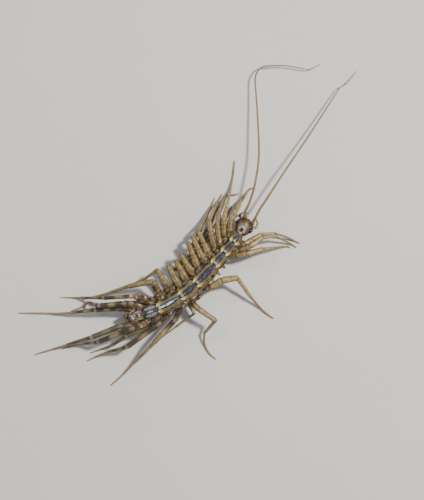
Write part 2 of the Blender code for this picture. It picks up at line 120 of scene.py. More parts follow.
# Painted sheen: how strong a blue-white painted reflection lies in the stripe of each plate, and
# the share of the plate where it fades out
PLATE_PAINTED_SHEEN = (0.0,) * 5 + (1.0, 0.7, 0.1)
PLATE_PAINTED_SHEEN_END = (1.4,) * 6 + (0.6, 1.4)
PLATE_PAINT = {"hind": (0.0,) * 5 + (0.35, 0.8, 1.0),
               "spotted": (1.0,) * 6 + (0.6, 0.0),
               "stripe": (0.6, 0.6, 0.62, 0.74, 0.68, 0.6, 0.5, 0.1),
               "fleshy": (0.0,) * 7 + (0.85,),
               "spot_width": (0.36,) * 6 + (0.2, 0.36),
               "spot_length": (0.55,) + (0.8,) * 7}
SPOT_PLACE = 0.85

# Leg bases
HIP_HEIGHT = 4.5
HIP_REACH = 0.6
LOST_LEG_REACH = 0.25
LOBE_REACH = both_sides({**dict.fromkeys(range(5, 13), 0.95), **dict.fromkeys((13, 14, 15), 0.7)},
                        dict.fromkeys(range(11, 16), 0.6))
SMALL_COXAE = (("right", 9), ("right", 10))
COXA_RADIUS_LIMIT = 0.68
COXA_SWELL = ((0.0, 0.9), (0.35, 1.1), (0.65, 1.12), (0.88, 1.05), (1.0, 0.8))
KNOB_RADII = (0.42, 0.36, 0.36)

# Head, in its own frame around its centre
HEAD_CENTRE = Vector((2.05, 0.75, 4.8))
HEAD_HEADING = 13.5
HEAD_RADII = Vector((1.95, 1.8, 1.2))
HEAD_VOXEL = 0.055
# The painted reflection ring on the back of the head: how far behind the middle its centre lies,
# its radius, and the radius of the dark core inside it
CROWN_BEHIND = 0.74
CROWN_REFLECTION_RADIUS = 0.71
CROWN_CORE = 0.5
SOCKET_FORWARD = 1.6
SOCKET_APART = 1.0
SOCKET_HEIGHT = 0.4
SOCKET_REACH = 0.5
SOCKET_RINGS = ((-0.7, 0.4), (0.1, 0.46), (0.3, 0.47), (0.36, 0.4), (0.3, 0.3))
EYE_FORWARD = 0.28
EYE_APART = 1.7
EYE_HEIGHT = 0.25
EYE_RADII = Vector((0.72, 0.38, 0.55))
LENSES = 700
LENS_RADIUS = 0.067
LENS_BULGE = 0.035

# Legs: radii at the start and end of each segment, for the first and the last pair
FRONT_SEGMENT_RADII = ((0.62, 0.6), (0.6, 0.46), (0.34, 0.27), (0.25, 0.15))
REAR_SEGMENT_RADII = ((0.66, 0.64), (0.62, 0.52), (0.46, 0.32), (0.25, 0.12))
TARSUS_TAPER = (1.0, 0.97, 0.9, 0.8)
STOUTNESS = both_sides({1: 1.1, 13: 0.76, **dict.fromkeys(range(6, 11), 1.12)}, {8: 1.2, 9: 0.68})
SWOLLEN_HIPS = {("left", number) for number in range(5, 16)}
SWOLLEN_RADII = (0.95, 0.68)
FOLDED_LEGS = {("left", number) for number in range(5, 12)} | {("right", 1)}
THIGH_SPLIT = 0.46
KNUCKLE_REACH = 0.35
KNEE_SWELL = (0.9, 0.78, 1.0)
END_SPINES = (0.0, 0.55, 0.65)
SLEEVE = ((0.0, 0.6), (0.015, 0.78), (0.05, 0.95), (0.12, 1.0), (0.3, 0.99), (0.5, 0.98),
          (0.7, 0.98), (0.86, 1.0), (0.94, 1.07), (0.975, 1.04), (0.995, 0.9), (0.985, 0.7))
RING_PITCH = 0.3
CLAW_LENGTH = 0.42
CLAW_HEIGHT = 0.09
CLAW_TAPER = ((0.0, 0.06), (0.4, 0.05), (0.75, 0.03), (1.0, 0.006))

# Thorns on the segments, long spines at their ends and bristles on the ringed whips
THORN_RADIUS = 0.022
THORN_GAPS = (0.16, 0.3)
THORN_LENGTHS = (0.14, 0.24)
END_SPINE_TURNS = (20, 90, 160, 235, 305)
END_SPINE_RADIUS = 0.04
BRISTLE_RADIUS = 0.014
BRISTLE_LENGTHS = (0.09, 0.15)
FOOT_BRISTLES = (215, 270, 325, 60, 120)
PLATE_BRISTLE_RADIUS = 0.018

# How far the mottled brown of the root runs out along a leg, in segments, and how dark and
# how dusky each leg is
ROOT_REACH = both_sides({**dict.fromkeys(range(6, 11), 0.35), 11: 0.8, 12: 0.9, 13: 1.25,
                         14: 0.8, 15: 1.0},
                        {10: 0.5, 11: 1.3, 12: 1.15, 13: 0.85, 14: 0.6, 15: 0.35})
ROOT_DEPTH = both_sides({13: 0.2, 14: 0.2, 15: 0.3}, {9: 0.5, 10: 0.4, 11: 0.85, 12: 0.8, 13: 0.6})
DUSKINESS = both_sides({15: 0.2}, {9: 0.2, 10: 0.25, 12: 0.4, 13: 0.85, 14: 0.15, 15: 0.7})
LAST_RIDGED_LEG = 11
FIRST_BANDED_LEG = 12
PALER_LEGS = (("left", 12), ("right", 11))

# Knees, ankle and route of the foot of every leg, as (forward, left, height).
# A height of zero lays that point of the foot on the ground.
LEG_ROUTES = both_sides({
    1: ((0.9, 3.7, 6.3), (4.6, 5.2, 3.4), (6.7, 5.8, 0.9), (8.2, 6.2, 0), (9.4, 5.8, 0)),
    2: ((-0.4, 4.5, 7.0), (1.8, 6.2, 5.6), (5.0, 8.7, 1.3), (7.4, 10.7, 0), (10.0, 13.2, 0)),
    3: ((-2.0, 4.6, 6.1), (0.0, 6.5, 4.6), (3.6, 8.4, 0.9), (5.0, 7.4, 0), (6.2, 6.9, 0)),
    4: ((-4.0, 4.6, 7.1), (-2.8, 6.4, 6.2), (0.1, 8.0, 2.2), (2.2, 8.9, 0), (3.4, 9.4, 0)),
    5: ((-6.0, 6.3, 6.3), (-3.4, 7.2, 3.4), (-1.5, 8.3, 1.0), (0.1, 9.0, 0), (1.6, 9.7, 0)),
    6: ((-7.7, 6.0, 6.6), (-5.5, 6.1, 2.6), (-4.3, 6.7, 0.8), (-2.8, 7.4, 0), (-1.2, 8.2, 0)),
    7: ((-9.2, 5.7, 6.1), (-8.6, 4.2, 2.5), (-7.3, 4.5, 0.8), (-5.8, 5.1, 0), (-4.3, 5.5, 0),
        (-2.9, 5.9, 0), (-1.5, 6.6, 0), (-0.1, 7.3, 0), (1.2, 7.8, 0)),
    8: ((-12.0, 4.9, 6.7), (-11.1, 3.5, 2.6), (-9.6, 3.6, 0.8), (-7.8, 4.0, 0), (-6.1, 4.2, 0),
        (-4.4, 4.5, 0), (-2.9, 4.9, 0), (-1.4, 5.4, 0), (0.0, 6.2, 0), (1.4, 6.9, 0),
        (2.6, 7.4, 0)),
    9: ((-13.7, 4.5, 6.2), (-13.0, 3.1, 2.5), (-11.4, 2.9, 0.8), (-9.6, 3.1, 0), (-7.8, 3.2, 0),
        (-6.0, 3.4, 0), (-4.4, 3.6, 0), (-2.8, 3.8, 0), (-1.3, 4.0, 0), (0.2, 4.4, 0),
        (1.7, 5.2, 0), (3.2, 6.0, 0)),
    10: ((-15.7, 4.7, 6.7), (-14.9, 3.0, 2.6), (-13.3, 2.3, 0.8), (-11.5, 2.2, 0), (-9.7, 2.3, 0),
        (-7.9, 2.4, 0), (-6.1, 2.6, 0)),
    11: ((-18.0, 5.6, 7.0), (-21.3, 5.9, 3.2), (-24.0, 6.7, 0.9), (-26.2, 7.4, 0),
        (-28.6, 8.2, 0)),
    12: ((-20.2, 4.3, 7.4), (-25.0, 6.9, 5.2), (-29.4, 8.6, 1.6), (-32.3, 10.0, 0),
        (-34.9, 11.3, 0)),
    13: ((-25.2, 4.4, 7.8), (-30.7, 8.4, 5.8), (-34.6, 11.7, 1.2), (-36.4, 13.2, 0),
        (-38.2, 14.7, 0)),
    14: ((-28.1, 4.7, 7.0), (-32.4, 7.7, 6.5), (-34.0, 9.9, 1.8), (-35.8, 10.0, 0),
        (-38.3, 10.9, 0)),
    15: ((-29.8, 4.8, 5.0), (-33.6, 7.6, 4.6), (-38.2, 10.5, 2.2), (-40.8, 12.4, 0.8),
        (-43.0, 14.3, 0), (-47.2, 17.9, 0)),
}, {
    1: ((4.0, -2.9, 3.7), (6.4, -4.6, 3.1), (7.9, -7.0, 1.4), (8.7, -8.8, 0), (9.2, -10.0, 0)),
    2: ((0.4, -3.3, 7.0), (3.8, -3.6, 6.4), (6.2, -5.3, 4.2), (7.3, -7.9, 1.2), (7.8, -9.2, 0),
        (8.0, -10.2, 0)),
    3: ((-1.2, -4.0, 6.4), (2.2, -5.5, 5.4), (4.3, -6.9, 2.4), (5.8, -7.9, 0.6), (6.6, -8.5, 0),
        (7.0, -9.4, 0)),
    8: ((-8.8, -5.0, 6.4), (-6.0, -6.7, 6.7), (-6.4, -11.6, 2.6), (-6.3, -15.6, 0),
        (-5.6, -18.8, 0)),
    9: ((-17.6, -4.4, 2.6), (-18.0, -6.7, 2.5), (-22.4, -6.4, 1.3), (-25.4, -6.2, 0.5),
        (-28.0, -6.1, 0), (-30.6, -6.0, 0)),
    10: ((-16.6, -6.4, 6.9), (-15.4, -10.7, 6.0), (-19.0, -11.3, 2.4), (-20.5, -13.0, 0.7),
        (-21.1, -15.2, 0), (-20.8, -17.6, 0)),
    11: ((-22.0, -5.0, 7.4), (-28.6, -5.9, 6.0), (-34.4, -6.5, 2.2), (-38.6, -6.9, 0),
        (-42.2, -7.0, 0)),
    12: ((-25.2, -3.5, 7.2), (-33.6, -2.9, 5.2), (-37.6, -1.0, 2.4), (-40.6, -0.1, 0),
        (-42.6, 0.4, 0)),
    13: ((-27.2, -2.9, 3.7), (-32.2, -0.9, 4.2), (-35.8, -0.6, 2.6), (-38.8, 0.5, 0),
        (-41.0, 1.3, 0)),
    14: ((-30.2, -0.5, 7.8), (-37.6, 1.9, 5.0), (-40.6, 3.7, 1.8), (-42.6, 4.8, 0),
        (-45.0, 5.9, 0)),
    15: ((-31.8, 1.5, 6.2), (-38.0, 3.6, 6.0), (-43.4, 5.8, 2.0), (-47.0, 7.3, 0),
        (-50.5, 8.8, 0)),
})

# Feelers: their routes from the sockets on the head to the tips
ANTENNA_ROUTES = {
    "left": ((4.6, 3.2, 5.9), (6.6, 4.1, 6.4), (10.0, 6.4, 6.6), (14.5, 10.5, 5.8),
             (19.3, 16.6, 4.6), (22.7, 21.2, 3.6), (24.5, 23.6, 3.1), (26.1, 24.5, 2.8),
             (27.8, 24.3, 2.5), (31.2, 21.7, 2.0), (33.9, 18.6, 1.6), (35.2, 17.5, 1.4),
             (37.4, 17.0, 1.2)),
    "right": ((5.4, 0.7, 6.1), (7.3, 1.5, 6.5), (9.7, 2.2, 6.6), (16.6, 4.3, 6.0),
              (25.4, 6.8, 4.4), (35.1, 9.8, 2.6), (37.3, 10.4, 2.2), (39.1, 10.2, 1.9),
              (42.5, 10.8, 1.4)),
}
ANTENNA_RADII = (0.29, 0.23, 0.19, 0.16, 0.07)
ANTENNA_RING_PITCH = 0.2
ANTENNA_BRISTLES = (30, 150, 270)

# The feelers' base segments: overlap with the one before, length, and radius at both ends
ANTENNA_BASE = ((0.3, 0.15, 0.3, 0.3), (0.05, 0.6, 0.33, 0.31), (0.05, 0.55, 0.3, 0.27))

# Mouth limbs in the head's frame, for the left side
PALP_ROUTE = ((0.9, 0.95, -1.42), (1.2, 1.5, -1.8), (1.5, 2.3, -1.85), (2.6, 1.9, -2.0),
              (3.1, 0.8, -2.4))
FORCIPULE_ROUTE = ((-0.9, 0.7, -1.52), (-0.75, 1.1, -2.1), (0.2, 1.6, -2.6), (1.4, 1.3, -2.9),
                   (2.0, 0.3, -3.1))
PALP_RADII = (0.26, 0.28, 0.24, 0.2, 0.07)
FORCIPULE_RADII = (0.42, 0.45, 0.4, 0.26, 0.04)

# Camera: the photo looks straight down, turned on the body, and its frame is this large
PHOTO_CENTRE = Vector((-6.28, 1.35, TRUNK_HEIGHT))
PHOTO_TURN = 40.0
PHOTO_FRAME_HEIGHT = 107.15
CAMERA_DISTANCE = 600.0


# Places

def smooth_step(value):
    value = min(max(value, 0.0), 1.0)
    return value * value * (3.0 - 2.0 * value)


def bump(value, middle, width, power=2):
    """A rounded hill of height 1."""
    return exp(-((value - middle) / width) ** power)


def blend(start, end, share):
    return start + (end - start) * share


def through(values, share):
    """The value at a share of the way through evenly spaced values."""
    place = min(max(share, 0.0), 1.0) * (len(values) - 1)
    index = min(int(place), len(values) - 2)
    return blend(values[index], values[index + 1], place - index)


def plan_direction(degrees):
    angle = radians(degrees)
    return Vector((cos(angle), sin(angle), 0.0))


def turned(across, upward, angle):
    """The direction at an angle from across towards upward."""
    return across * cos(angle) + upward * sin(angle)


HEAD_AXES = (plan_direction(HEAD_HEADING), plan_direction(HEAD_HEADING + 90), UP)


def head_point(forward, left, up):
    return HEAD_CENTRE + HEAD_AXES[0] * forward + HEAD_AXES[1] * left + HEAD_AXES[2] * up


def eye_point(side, offset=Vector()):
    """A point of an eye, by its offset from the eye's middle in the head's frame."""
    return head_point(*(Vector((EYE_FORWARD, EYE_APART * SIGN[side], EYE_HEIGHT)) + offset))


# From the animal's own frame to the shared one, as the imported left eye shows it
EYE_LOW, EYE_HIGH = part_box("eye_left")
SHIFT = (Vector(EYE_LOW) + Vector(EYE_HIGH)) / 2 - eye_point("left") * MM
SHIFT.z = 0.0


def place(point):
    return point * MM + SHIFT


def spine_heading(distance):
    bend = smooth_step((distance - BEND_START) / (BEND_END - BEND_START))
    return FRONT_HEADING + (REAR_HEADING - FRONT_HEADING) * bend


def lay_spine():
    """Points of the spine at even steps behind the neck."""
    points = [Vector((0.0, 0.0, TRUNK_HEIGHT))]
    while (len(points) - 2) * SPINE_STEP < TRUNK_LENGTH + 2.0:
        heading = spine_heading((len(points) - 0.5) * SPINE_STEP)
        points.append(points[-1] - plan_direction(heading) * SPINE_STEP)
    return points


SPINE = lay_spine()


def spine_frame(distance):
    """The point of the spine, and the directions forward and left there."""
    heading = spine_heading(distance)
    forward = plan_direction(heading)
    left = plan_direction(heading + 90)
    if distance <= 0:
        return SPINE[0] - forward * distance, forward, left
    index = min(int(distance / SPINE_STEP), len(SPINE) - 2)
    return blend(SPINE[index], SPINE[index + 1], distance / SPINE_STEP - index), forward, left


def trunk_half_width(distance):
    if distance < WIDEST_AT:
        return blend(NECK_HALF_WIDTH, MIDDLE_HALF_WIDTH, smooth_step(distance / WIDEST_AT))
    share = smooth_step((distance - WIDEST_AT) / (TRUNK_LENGTH - WIDEST_AT))
    return blend(MIDDLE_HALF_WIDTH, TAIL_HALF_WIDTH, share)


def plate_start(index):
    return sum(PLATE_LENGTHS[:index])


def leg_stations():
    """The distance behind the neck of each pair of legs."""
    stations = {}
    for index, count in enumerate(LEGS_UNDER_PLATE):
        for position in range(count):
            share = (position + 0.5) / count
            stations[len(stations) + 1] = plate_start(index) + share * PLATE_LENGTHS[index]
    return stations


STATIONS = leg_stations()
HIPS = [(side, number) for side in SIGN for number in STATIONS]


def from_station(distance):
    """Distance along the body to the nearest pair of legs."""
    return min(abs(distance - station) for station in STATIONS.values())


def leg_pitch(number):
    """Distance along the body from one leg to the next."""
    other = number + 1 if number < len(STATIONS) else number - 1
    return abs(STATIONS[other] - STATIONS[number])


def hip(leg):
    """The hip point and the direction in which the leg leaves it."""
    side, number = leg
    point, forward, left = spine_frame(STATIONS[number])
    outward = left * SIGN[side]
    spot = point + outward * (trunk_half_width(STATIONS[number]) + HIP_REACH)
    spot.z = HIP_HEIGHT
    if leg not in LEG_ROUTES:
        return spot, outward
    aim = Vector(LEG_ROUTES[leg][0]) - spot
    return spot, (outward * 1.4 + aim.normalized()).normalized()


def flowing(route, parts):
    """A smooth curve through the stations, with this many parts between each two."""
    curve = []
    padded = [route[0] * 2 - route[1], *route, route[-1] * 2 - route[-2]]
    for index in range(1, len(padded) - 2):
        before, start, end, after = padded[index - 1:index + 3]
        for part in range(parts):
            t = part / parts
            curve.append(0.5 * (2 * start + (end - before) * t
                                + (2 * before - 5 * start + 4 * end - after) * t ** 2
                                + (3 * start - before - 3 * end + after) * t ** 3))
    curve.append(route[-1])
    return curve


def even_steps(curve, pitch):
    """Points along a curve at even distances close to the pitch."""
    lengths = [0.0]
    for before, after in zip(curve, curve[1:]):
        lengths.append(lengths[-1] + (after - before).length)
    count = max(2, round(lengths[-1] / pitch))
    points = []
    index = 0
    for step in range(count + 1):
        distance = lengths[-1] * step / count
        while index < len(curve) - 2 and lengths[index + 1] < distance:
            index += 1
        share = (distance - lengths[index]) / (lengths[index + 1] - lengths[index])
        points.append(blend(curve[index], curve[index + 1], share))
    return points


def tree_of(points):
    """A search tree that finds the nearest of the points."""
    tree = KDTree(len(points))
    for index, point in enumerate(points):
        tree.insert(point, index)
    tree.balance()
    return tree


# Meshes

def link(name, data):
    piece = bpy.data.objects.new(name, data)
    bpy.context.scene.collection.objects.link(piece)
    return piece


def paint_points(mesh, values):
    """Keep lists of values on a mesh's points, where the materials read them by name."""
    for name, store in values.items():
        mesh.attributes.new(name, "FLOAT", "POINT").data.foreach_set("value", store)


def dress(piece, slot, *nodes):
    """A piece rides the one body and stands for its nodes of the part, which it hides; slot is not
    used.
    """
    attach(piece, "root")
    if nodes:
        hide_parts(*nodes)


def section(centre, across, upward, sides, ridge=0.0):
    """Points of one cross-section; across and upward are its half widths as vectors."""
    points = []
    for index in range(sides):
        angle = 2 * pi * index / sides
        points.append(centre + turned(across, upward, angle) * (1 + ridge * cos(4 * angle)))
    return points


class Shape:
    """Points, faces and painted values of one mesh, gathered piece by piece."""

    def __init__(self, *value_names):
        self.points = []
        self.faces = []
        self.values = {name: [] for name in value_names}

    def add(self, points, faces, **values):
        base = len(self.points)
        self.points.extend(points)
        self.faces.extend(tuple(base + index for index in face) for face in faces)
        for name, store in self.values.items():
            value = values.get(name, 0.0)
            store.extend(value if isinstance(value, list) else [value] * len(points))

    def loft(self, rings, **values):
        """A closed body through rings of equally many points; lists hold a value per point."""
        count = len(rings[0])
        last = (len(rings) - 1) * count
        faces = [tuple(reversed(range(count)))]
        for low in range(0, last, count):
            high = low + count
            for column in range(count):
                after = (column + 1) % count
                faces.append((low + column, low + after, high + after, high + column))
        faces.append(tuple(range(last, last + count)))
        self.add([point for ring in rings for point in ring], faces, **values)

    def rings(self, rings, **values):
        """The same with lists that hold a value per ring, and the height round each as top."""
        columns = range(len(rings[0]))
        for name, value in values.items():
            if isinstance(value, list):
                values[name] = [part for part in value for column in columns]
        values["top"] = [sin(2 * pi * column / len(columns)) for column in columns]
        values["top"] *= len(rings)
        self.loft(rings, **values)

    def tube(self, stops, frame, sides, **values):
        """A round body through pairs of centre and radius, all in one frame."""
        across, upward = frame
        self.rings([section(centre, across * radius, upward * radius, sides)
                    for centre, radius in stops], **values)

    def thorn(self, root, tip, radius, **values):
        """A slender three-sided spine."""
        along = (tip - root).normalized()
        across = along.orthogonal().normalized()
        base = section(root, across * radius, along.cross(across) * radius, 3)
        self.add(base + [tip], [(0, 2, 1), (0, 1, 3), (1, 2, 3), (2, 0, 3)], **values)

    def egg(self, centre, radii, axes, segments=14, layers=10, **values):
        """A closed egg with its poles along the first axis."""
        rings = []
        for layer in range(1, layers):
            polar = pi * layer / layers
            middle = centre - axes[0] * (radii[0] * cos(polar))
            reach = sin(polar)
            rings.append(section(middle, axes[1] * (radii[1] * reach),
                                 axes[2] * (radii[2] * reach), segments))
        self.rings(rings, **values)

    def build(self, name, finish, sharp=50):
        mesh = bpy.data.meshes.new(name)
        mesh.from_pydata([place(point) for point in self.points], [], self.faces)
        paint_points(mesh, self.values)
        mesh.shade_smooth()
        mesh.set_sharp_from_angle(angle=radians(sharp))
        mesh.materials.append(finish)
        return link(name, mesh)


def limb_frame(along, spare):
    """Directions across a limb and up from it; spare serves where the limb stands upright."""
    across = along.cross(UP)
    if across.length < 0.1:
        across = spare.cross(UP)
    across = (across - along * across.dot(along)).normalized()
    return across, across.cross(along)


def fuse(shape, name, finish, voxel, paint):
    """One closed skin round overlapping bodies, with values painted from its points."""
    rough = shape.build(name + "_rough", finish)
    remesh = rough.modifiers.new("skin", "REMESH")
    remesh.mode = "VOXEL"
    remesh.voxel_size = voxel * MM
    smooth = rough.modifiers.new("smooth", "SMOOTH")
    smooth.factor = 0.5
    smooth.iterations = 4
    context = bpy.context.evaluated_depsgraph_get()
    mesh = bpy.data.meshes.new_from_object(rough.evaluated_get(context))
    bpy.data.objects.remove(rough, do_unlink=True)
    mesh.name = name
    painted = {}
    for vertex in mesh.vertices:
        moved, values = paint((vertex.co - SHIFT) / MM)
        vertex.co = place(moved)
        for value_name, value in values.items():
            painted.setdefault(value_name, []).append(value)
    paint_points(mesh, painted)
    mesh.materials.clear()
    mesh.materials.append(finish)
    mesh.shade_smooth()
    return link(name, mesh)


# Materials

def tint(*channels):
    """A colour from its screen values of 0 to 255."""
    linear = []
    for channel in channels:
        value = channel / 255
        linear.append(value / 12.92 if value <= 0.04045 else ((value + 0.055) / 1.055) ** 2.4)
    return (*linear, 1.0)


class Wire:
    """A value or colour on its way between two nodes, open to plain arithmetic."""

    def __init__(self, paint, socket):
        self.paint = paint
        self.socket = socket

    def maths(self, operation, second=0.0):
        node = self.paint.node("Math", self, second)
        node.operation = operation
        return Wire(self.paint, node.outputs[0])

    __abs__ = partialmethod(maths, "ABSOLUTE")
    __add__ = partialmethod(maths, "ADD")
    __sub__ = partialmethod(maths, "SUBTRACT")
    __mul__ = partialmethod(maths, "MULTIPLY")
    __truediv__ = partialmethod(maths, "DIVIDE")
    least = partialmethod(maths, "MINIMUM")
    most = partialmethod(maths, "MAXIMUM")

    def spread(self, low, high, to_low=0.0, to_high=1.0):
        """The value carried smoothly from one range to another, and held at its ends."""
        node = self.paint.node("MapRange", self, low, high, to_low, to_high)
        node.interpolation_type = "SMOOTHSTEP"
        return Wire(self.paint, node.outputs[0])

    def ramp(self, *stops):
        """Colours or plain values along a value of 0 to 1."""
        node = self.paint.node("ValToRGB", self)
        elements = node.color_ramp.elements
        while len(elements) < len(stops):
            elements.new(0.5)
        for element, (position, colour) in zip(elements, stops):
            element.position = position
        for element, (position, colour) in zip(elements, stops):
            element.color = colour if isinstance(colour, tuple) else (colour, colour, colour, 1)
        return Wire(self.paint, node.outputs[0])


class Paint:
    """One material: colours laid over each other, by shares that its nodes work out."""

    def __init__(self, name, roughness, coat=0.0, subsurface=0.0):
        self.material = bpy.data.materials.new(name)
        self.material.use_nodes = True
        self.tree = self.material.node_tree
        self.shader = self.tree.nodes["Principled BSDF"]
        for socket, value in (("Roughness", roughness), ("Coat Weight", coat),
                              ("Coat Roughness", 0.15), ("Subsurface Weight", subsurface),
                              ("Subsurface Radius", (0.0006, 0.0003, 0.00015)),
                              ("Subsurface Scale", 1.0)):
            self.shader.inputs[socket].default_value = value
        self.place = Wire(self, self.node("TexCoord").outputs["Object"])
        self.colour = None

    def set(self, socket, value):
        if isinstance(value, Wire):
            self.tree.links.new(value.socket, socket)
        else:
            socket.default_value = value

    def node(self, kind, *inputs):
        node = self.tree.nodes.new("ShaderNode" + kind)
        for socket, value in zip(node.inputs, inputs):
            self.set(socket, value)
        return node

    def __getitem__(self, name):
        """The value painted under this name on the points of the mesh."""
        node = self.node("Attribute")
        node.attribute_name = name
        return Wire(self, node.outputs["Fac"])

    def noise(self, size, detail=3.0, place=None):
        """Cloudy noise whose patches are about this many millimetres across."""
        node = self.node("TexNoise", place or self.place)
        node.inputs["Scale"].default_value = 1 / (size * MM)
        node.inputs["Detail"].default_value = detail
        return Wire(self, node.outputs["Fac"])

    def dots(self, size):
        """Distance from the nearest of scattered points, in sizes."""
        node = self.node("TexVoronoi", self.place)
        node.inputs["Scale"].default_value = 1 / (size * MM)
        return Wire(self, node.outputs["Distance"])

    def mix(self, share, first, second):
        node = self.node("Mix")
        node.data_type = "RGBA"
        self.set(node.inputs[0], share)
        self.set(node.inputs[6], first)
        self.set(node.inputs[7], second)
        return Wire(self, node.outputs[2])

    def lay(self, colour, share):
        """Lay a colour over the ones before it."""
        self.colour = self.mix(share, self.colour, colour)

    def clouds(self, first, second, size, detail=3.0, low=0.35, high=0.65):
        """Start with clouds of two colours, and give their noise back for other uses."""
        noise = self.noise(size, detail)
        self.colour = first
        self.lay(second, noise.spread(low, high))
        return noise

    def finish(self, relief=None, depth=0.02, roughness=None):
        """The material with its colours, and with relief of this many millimetres."""
        self.set(self.shader.inputs["Base Color"], self.colour)
        if roughness:
            self.set(self.shader.inputs["Roughness"], roughness)
        if relief:
            bumps = self.node("Bump")
            bumps.inputs["Strength"].default_value = 1.0
            bumps.inputs["Distance"].default_value = depth * MM
            self.set(bumps.inputs["Height"], relief)
            self.tree.links.new(bumps.outputs[0], self.shader.inputs["Normal"])
        return self.material


GOLD = tint(148, 124, 72)
BANDED_GOLD = tint(136, 114, 66)
PALE_GOLD = tint(174, 153, 104)
OCHRE = tint(136, 112, 66)
BROWN = tint(84, 64, 38)
DARK_BROWN = tint(46, 30, 18)
CHESTNUT = tint(76, 53, 33)
PINK = tint(162, 136, 120)
PALE_PINK = tint(214, 186, 168)
OLIVE = tint(92, 78, 52)
PALE_OLIVE = tint(122, 106, 74)
BLACK_OLIVE = tint(36, 33, 25)
# Painted highlight at the hind end of the yellow spots
LEMON = tint(216, 198, 70)
SPOT_HIGHLIGHT_CREAM = tint(242, 236, 204)
BLUE_BLACK = tint(28, 29, 36)
BLUE_GREY = tint(88, 90, 108)
# Colour of the painted reflection in the stripe
PAINTED_SHEEN_WHITE = tint(224, 230, 248)


def leg_finish(banding):
    """Golden chitin, brown at its roots and darker away from its top: the legs' brown margins
    together with painted shade on the sides and underside; banding adds the dark bands of hind
    legs.
    """
    paint = Paint("banded_leg_chitin" if banding == 1 else "leg_chitin", 0.4, 0.1, 0.08)
    top = paint["top"]
    along = paint["station"] / 4.0
    cloud = paint.clouds(paint.mix(banding, GOLD, BANDED_GOLD), PALE_GOLD, 0.5)
    uneven = (cloud - 0.5) * 0.5
    # Painted shade: brown on the sides and underside away from the top, which also draws the brown
    # margins
    paint.lay(BROWN, (top + uneven).spread(0.88, 0.4) * 0.85)
    ridge = (top - uneven * 0.3).spread(0.93, 0.98) * (paint["ridge"] * along.spread(0.76, 0.7))
    paint.lay(BROWN, ridge * 0.65)
    paint.lay(tint(112, 86, 48), paint["tone"] * 0.2)
    bands = (along + paint.noise(0.9) * 0.02).ramp(
        (0.0, 0.3), (0.07, 0.95), (0.1, 0.35), (0.14, 0.4), (0.18, 1.0), (0.24, 1.0), (0.33, 1.0),
        (0.365, 0.15), (0.4, 0.2), (0.43, 1.0), (0.49, 0.95), (0.54, 1.0), (0.58, 0.2),
        (0.61, 0.15), (0.65, 0.95), (0.69, 0.9), (0.72, 0.3), (0.78, 0.1))
    paint.lay(paint.mix(cloud, BLACK_OLIVE, tint(66, 54, 34)), bands * banding)
    paint.lay(tint(82, 75, 54), paint["dusk"])
    # Mottled brown root; the pale specks where the noise is highest are painted glints
    root = paint.noise(0.75, 4.0).ramp((0.36, tint(38, 29, 23)), (0.45, tint(88, 68, 46)),
                                       (0.55, tint(116, 92, 60)), (0.6, tint(128, 104, 76)),
                                       (0.66, tint(210, 196, 186)))
    paint.lay(paint.mix(paint["depth"], root, tint(46, 34, 26)), paint["root"])
    rings = along.ramp((0.0, 0.0), (0.236, 0.0), (0.247, 0.6), (0.26, 0.0), (0.487, 0.0),
                       (0.498, 0.7), (0.51, 0.0), (0.737, 0.0), (0.748, 0.5), (0.76, 0.0))
    paint.lay(paint.mix(cloud, PINK, PALE_PINK), rings * (0.3 + 0.4 * banding))
    paint.lay(OCHRE, along.spread(0.75, 0.8) * 0.6)
    soft = paint.mix(along.spread(0.3, 0.45) * banding, tint(106, 85, 56), tint(150, 124, 106))
    paint.lay(soft, paint["membrane"])
    paint.lay(DARK_BROWN, paint["spine"])
    fine = paint.noise(0.12, 2.0)
    return paint.finish(fine, 0.012, fine.spread(0.3, 0.7, 0.32, 0.52))


def antenna_finish():
    paint = Paint("antenna_chitin", 0.45, 0.15, 0.1)
    base = paint["station"].ramp((0.0, tint(116, 86, 44)), (0.05, tint(132, 104, 54)),
                                 (0.2, tint(130, 106, 60)), (1.0, tint(112, 90, 56)))
    paint.clouds(base, tint(112, 90, 50), 0.6, low=0.4, high=0.7)
    paint.lay(OCHRE, paint["membrane"] * 0.4)
    paint.lay(BROWN, paint["spine"] * 0.6)
    return paint.finish(paint.noise(0.1, 2.0), 0.008)


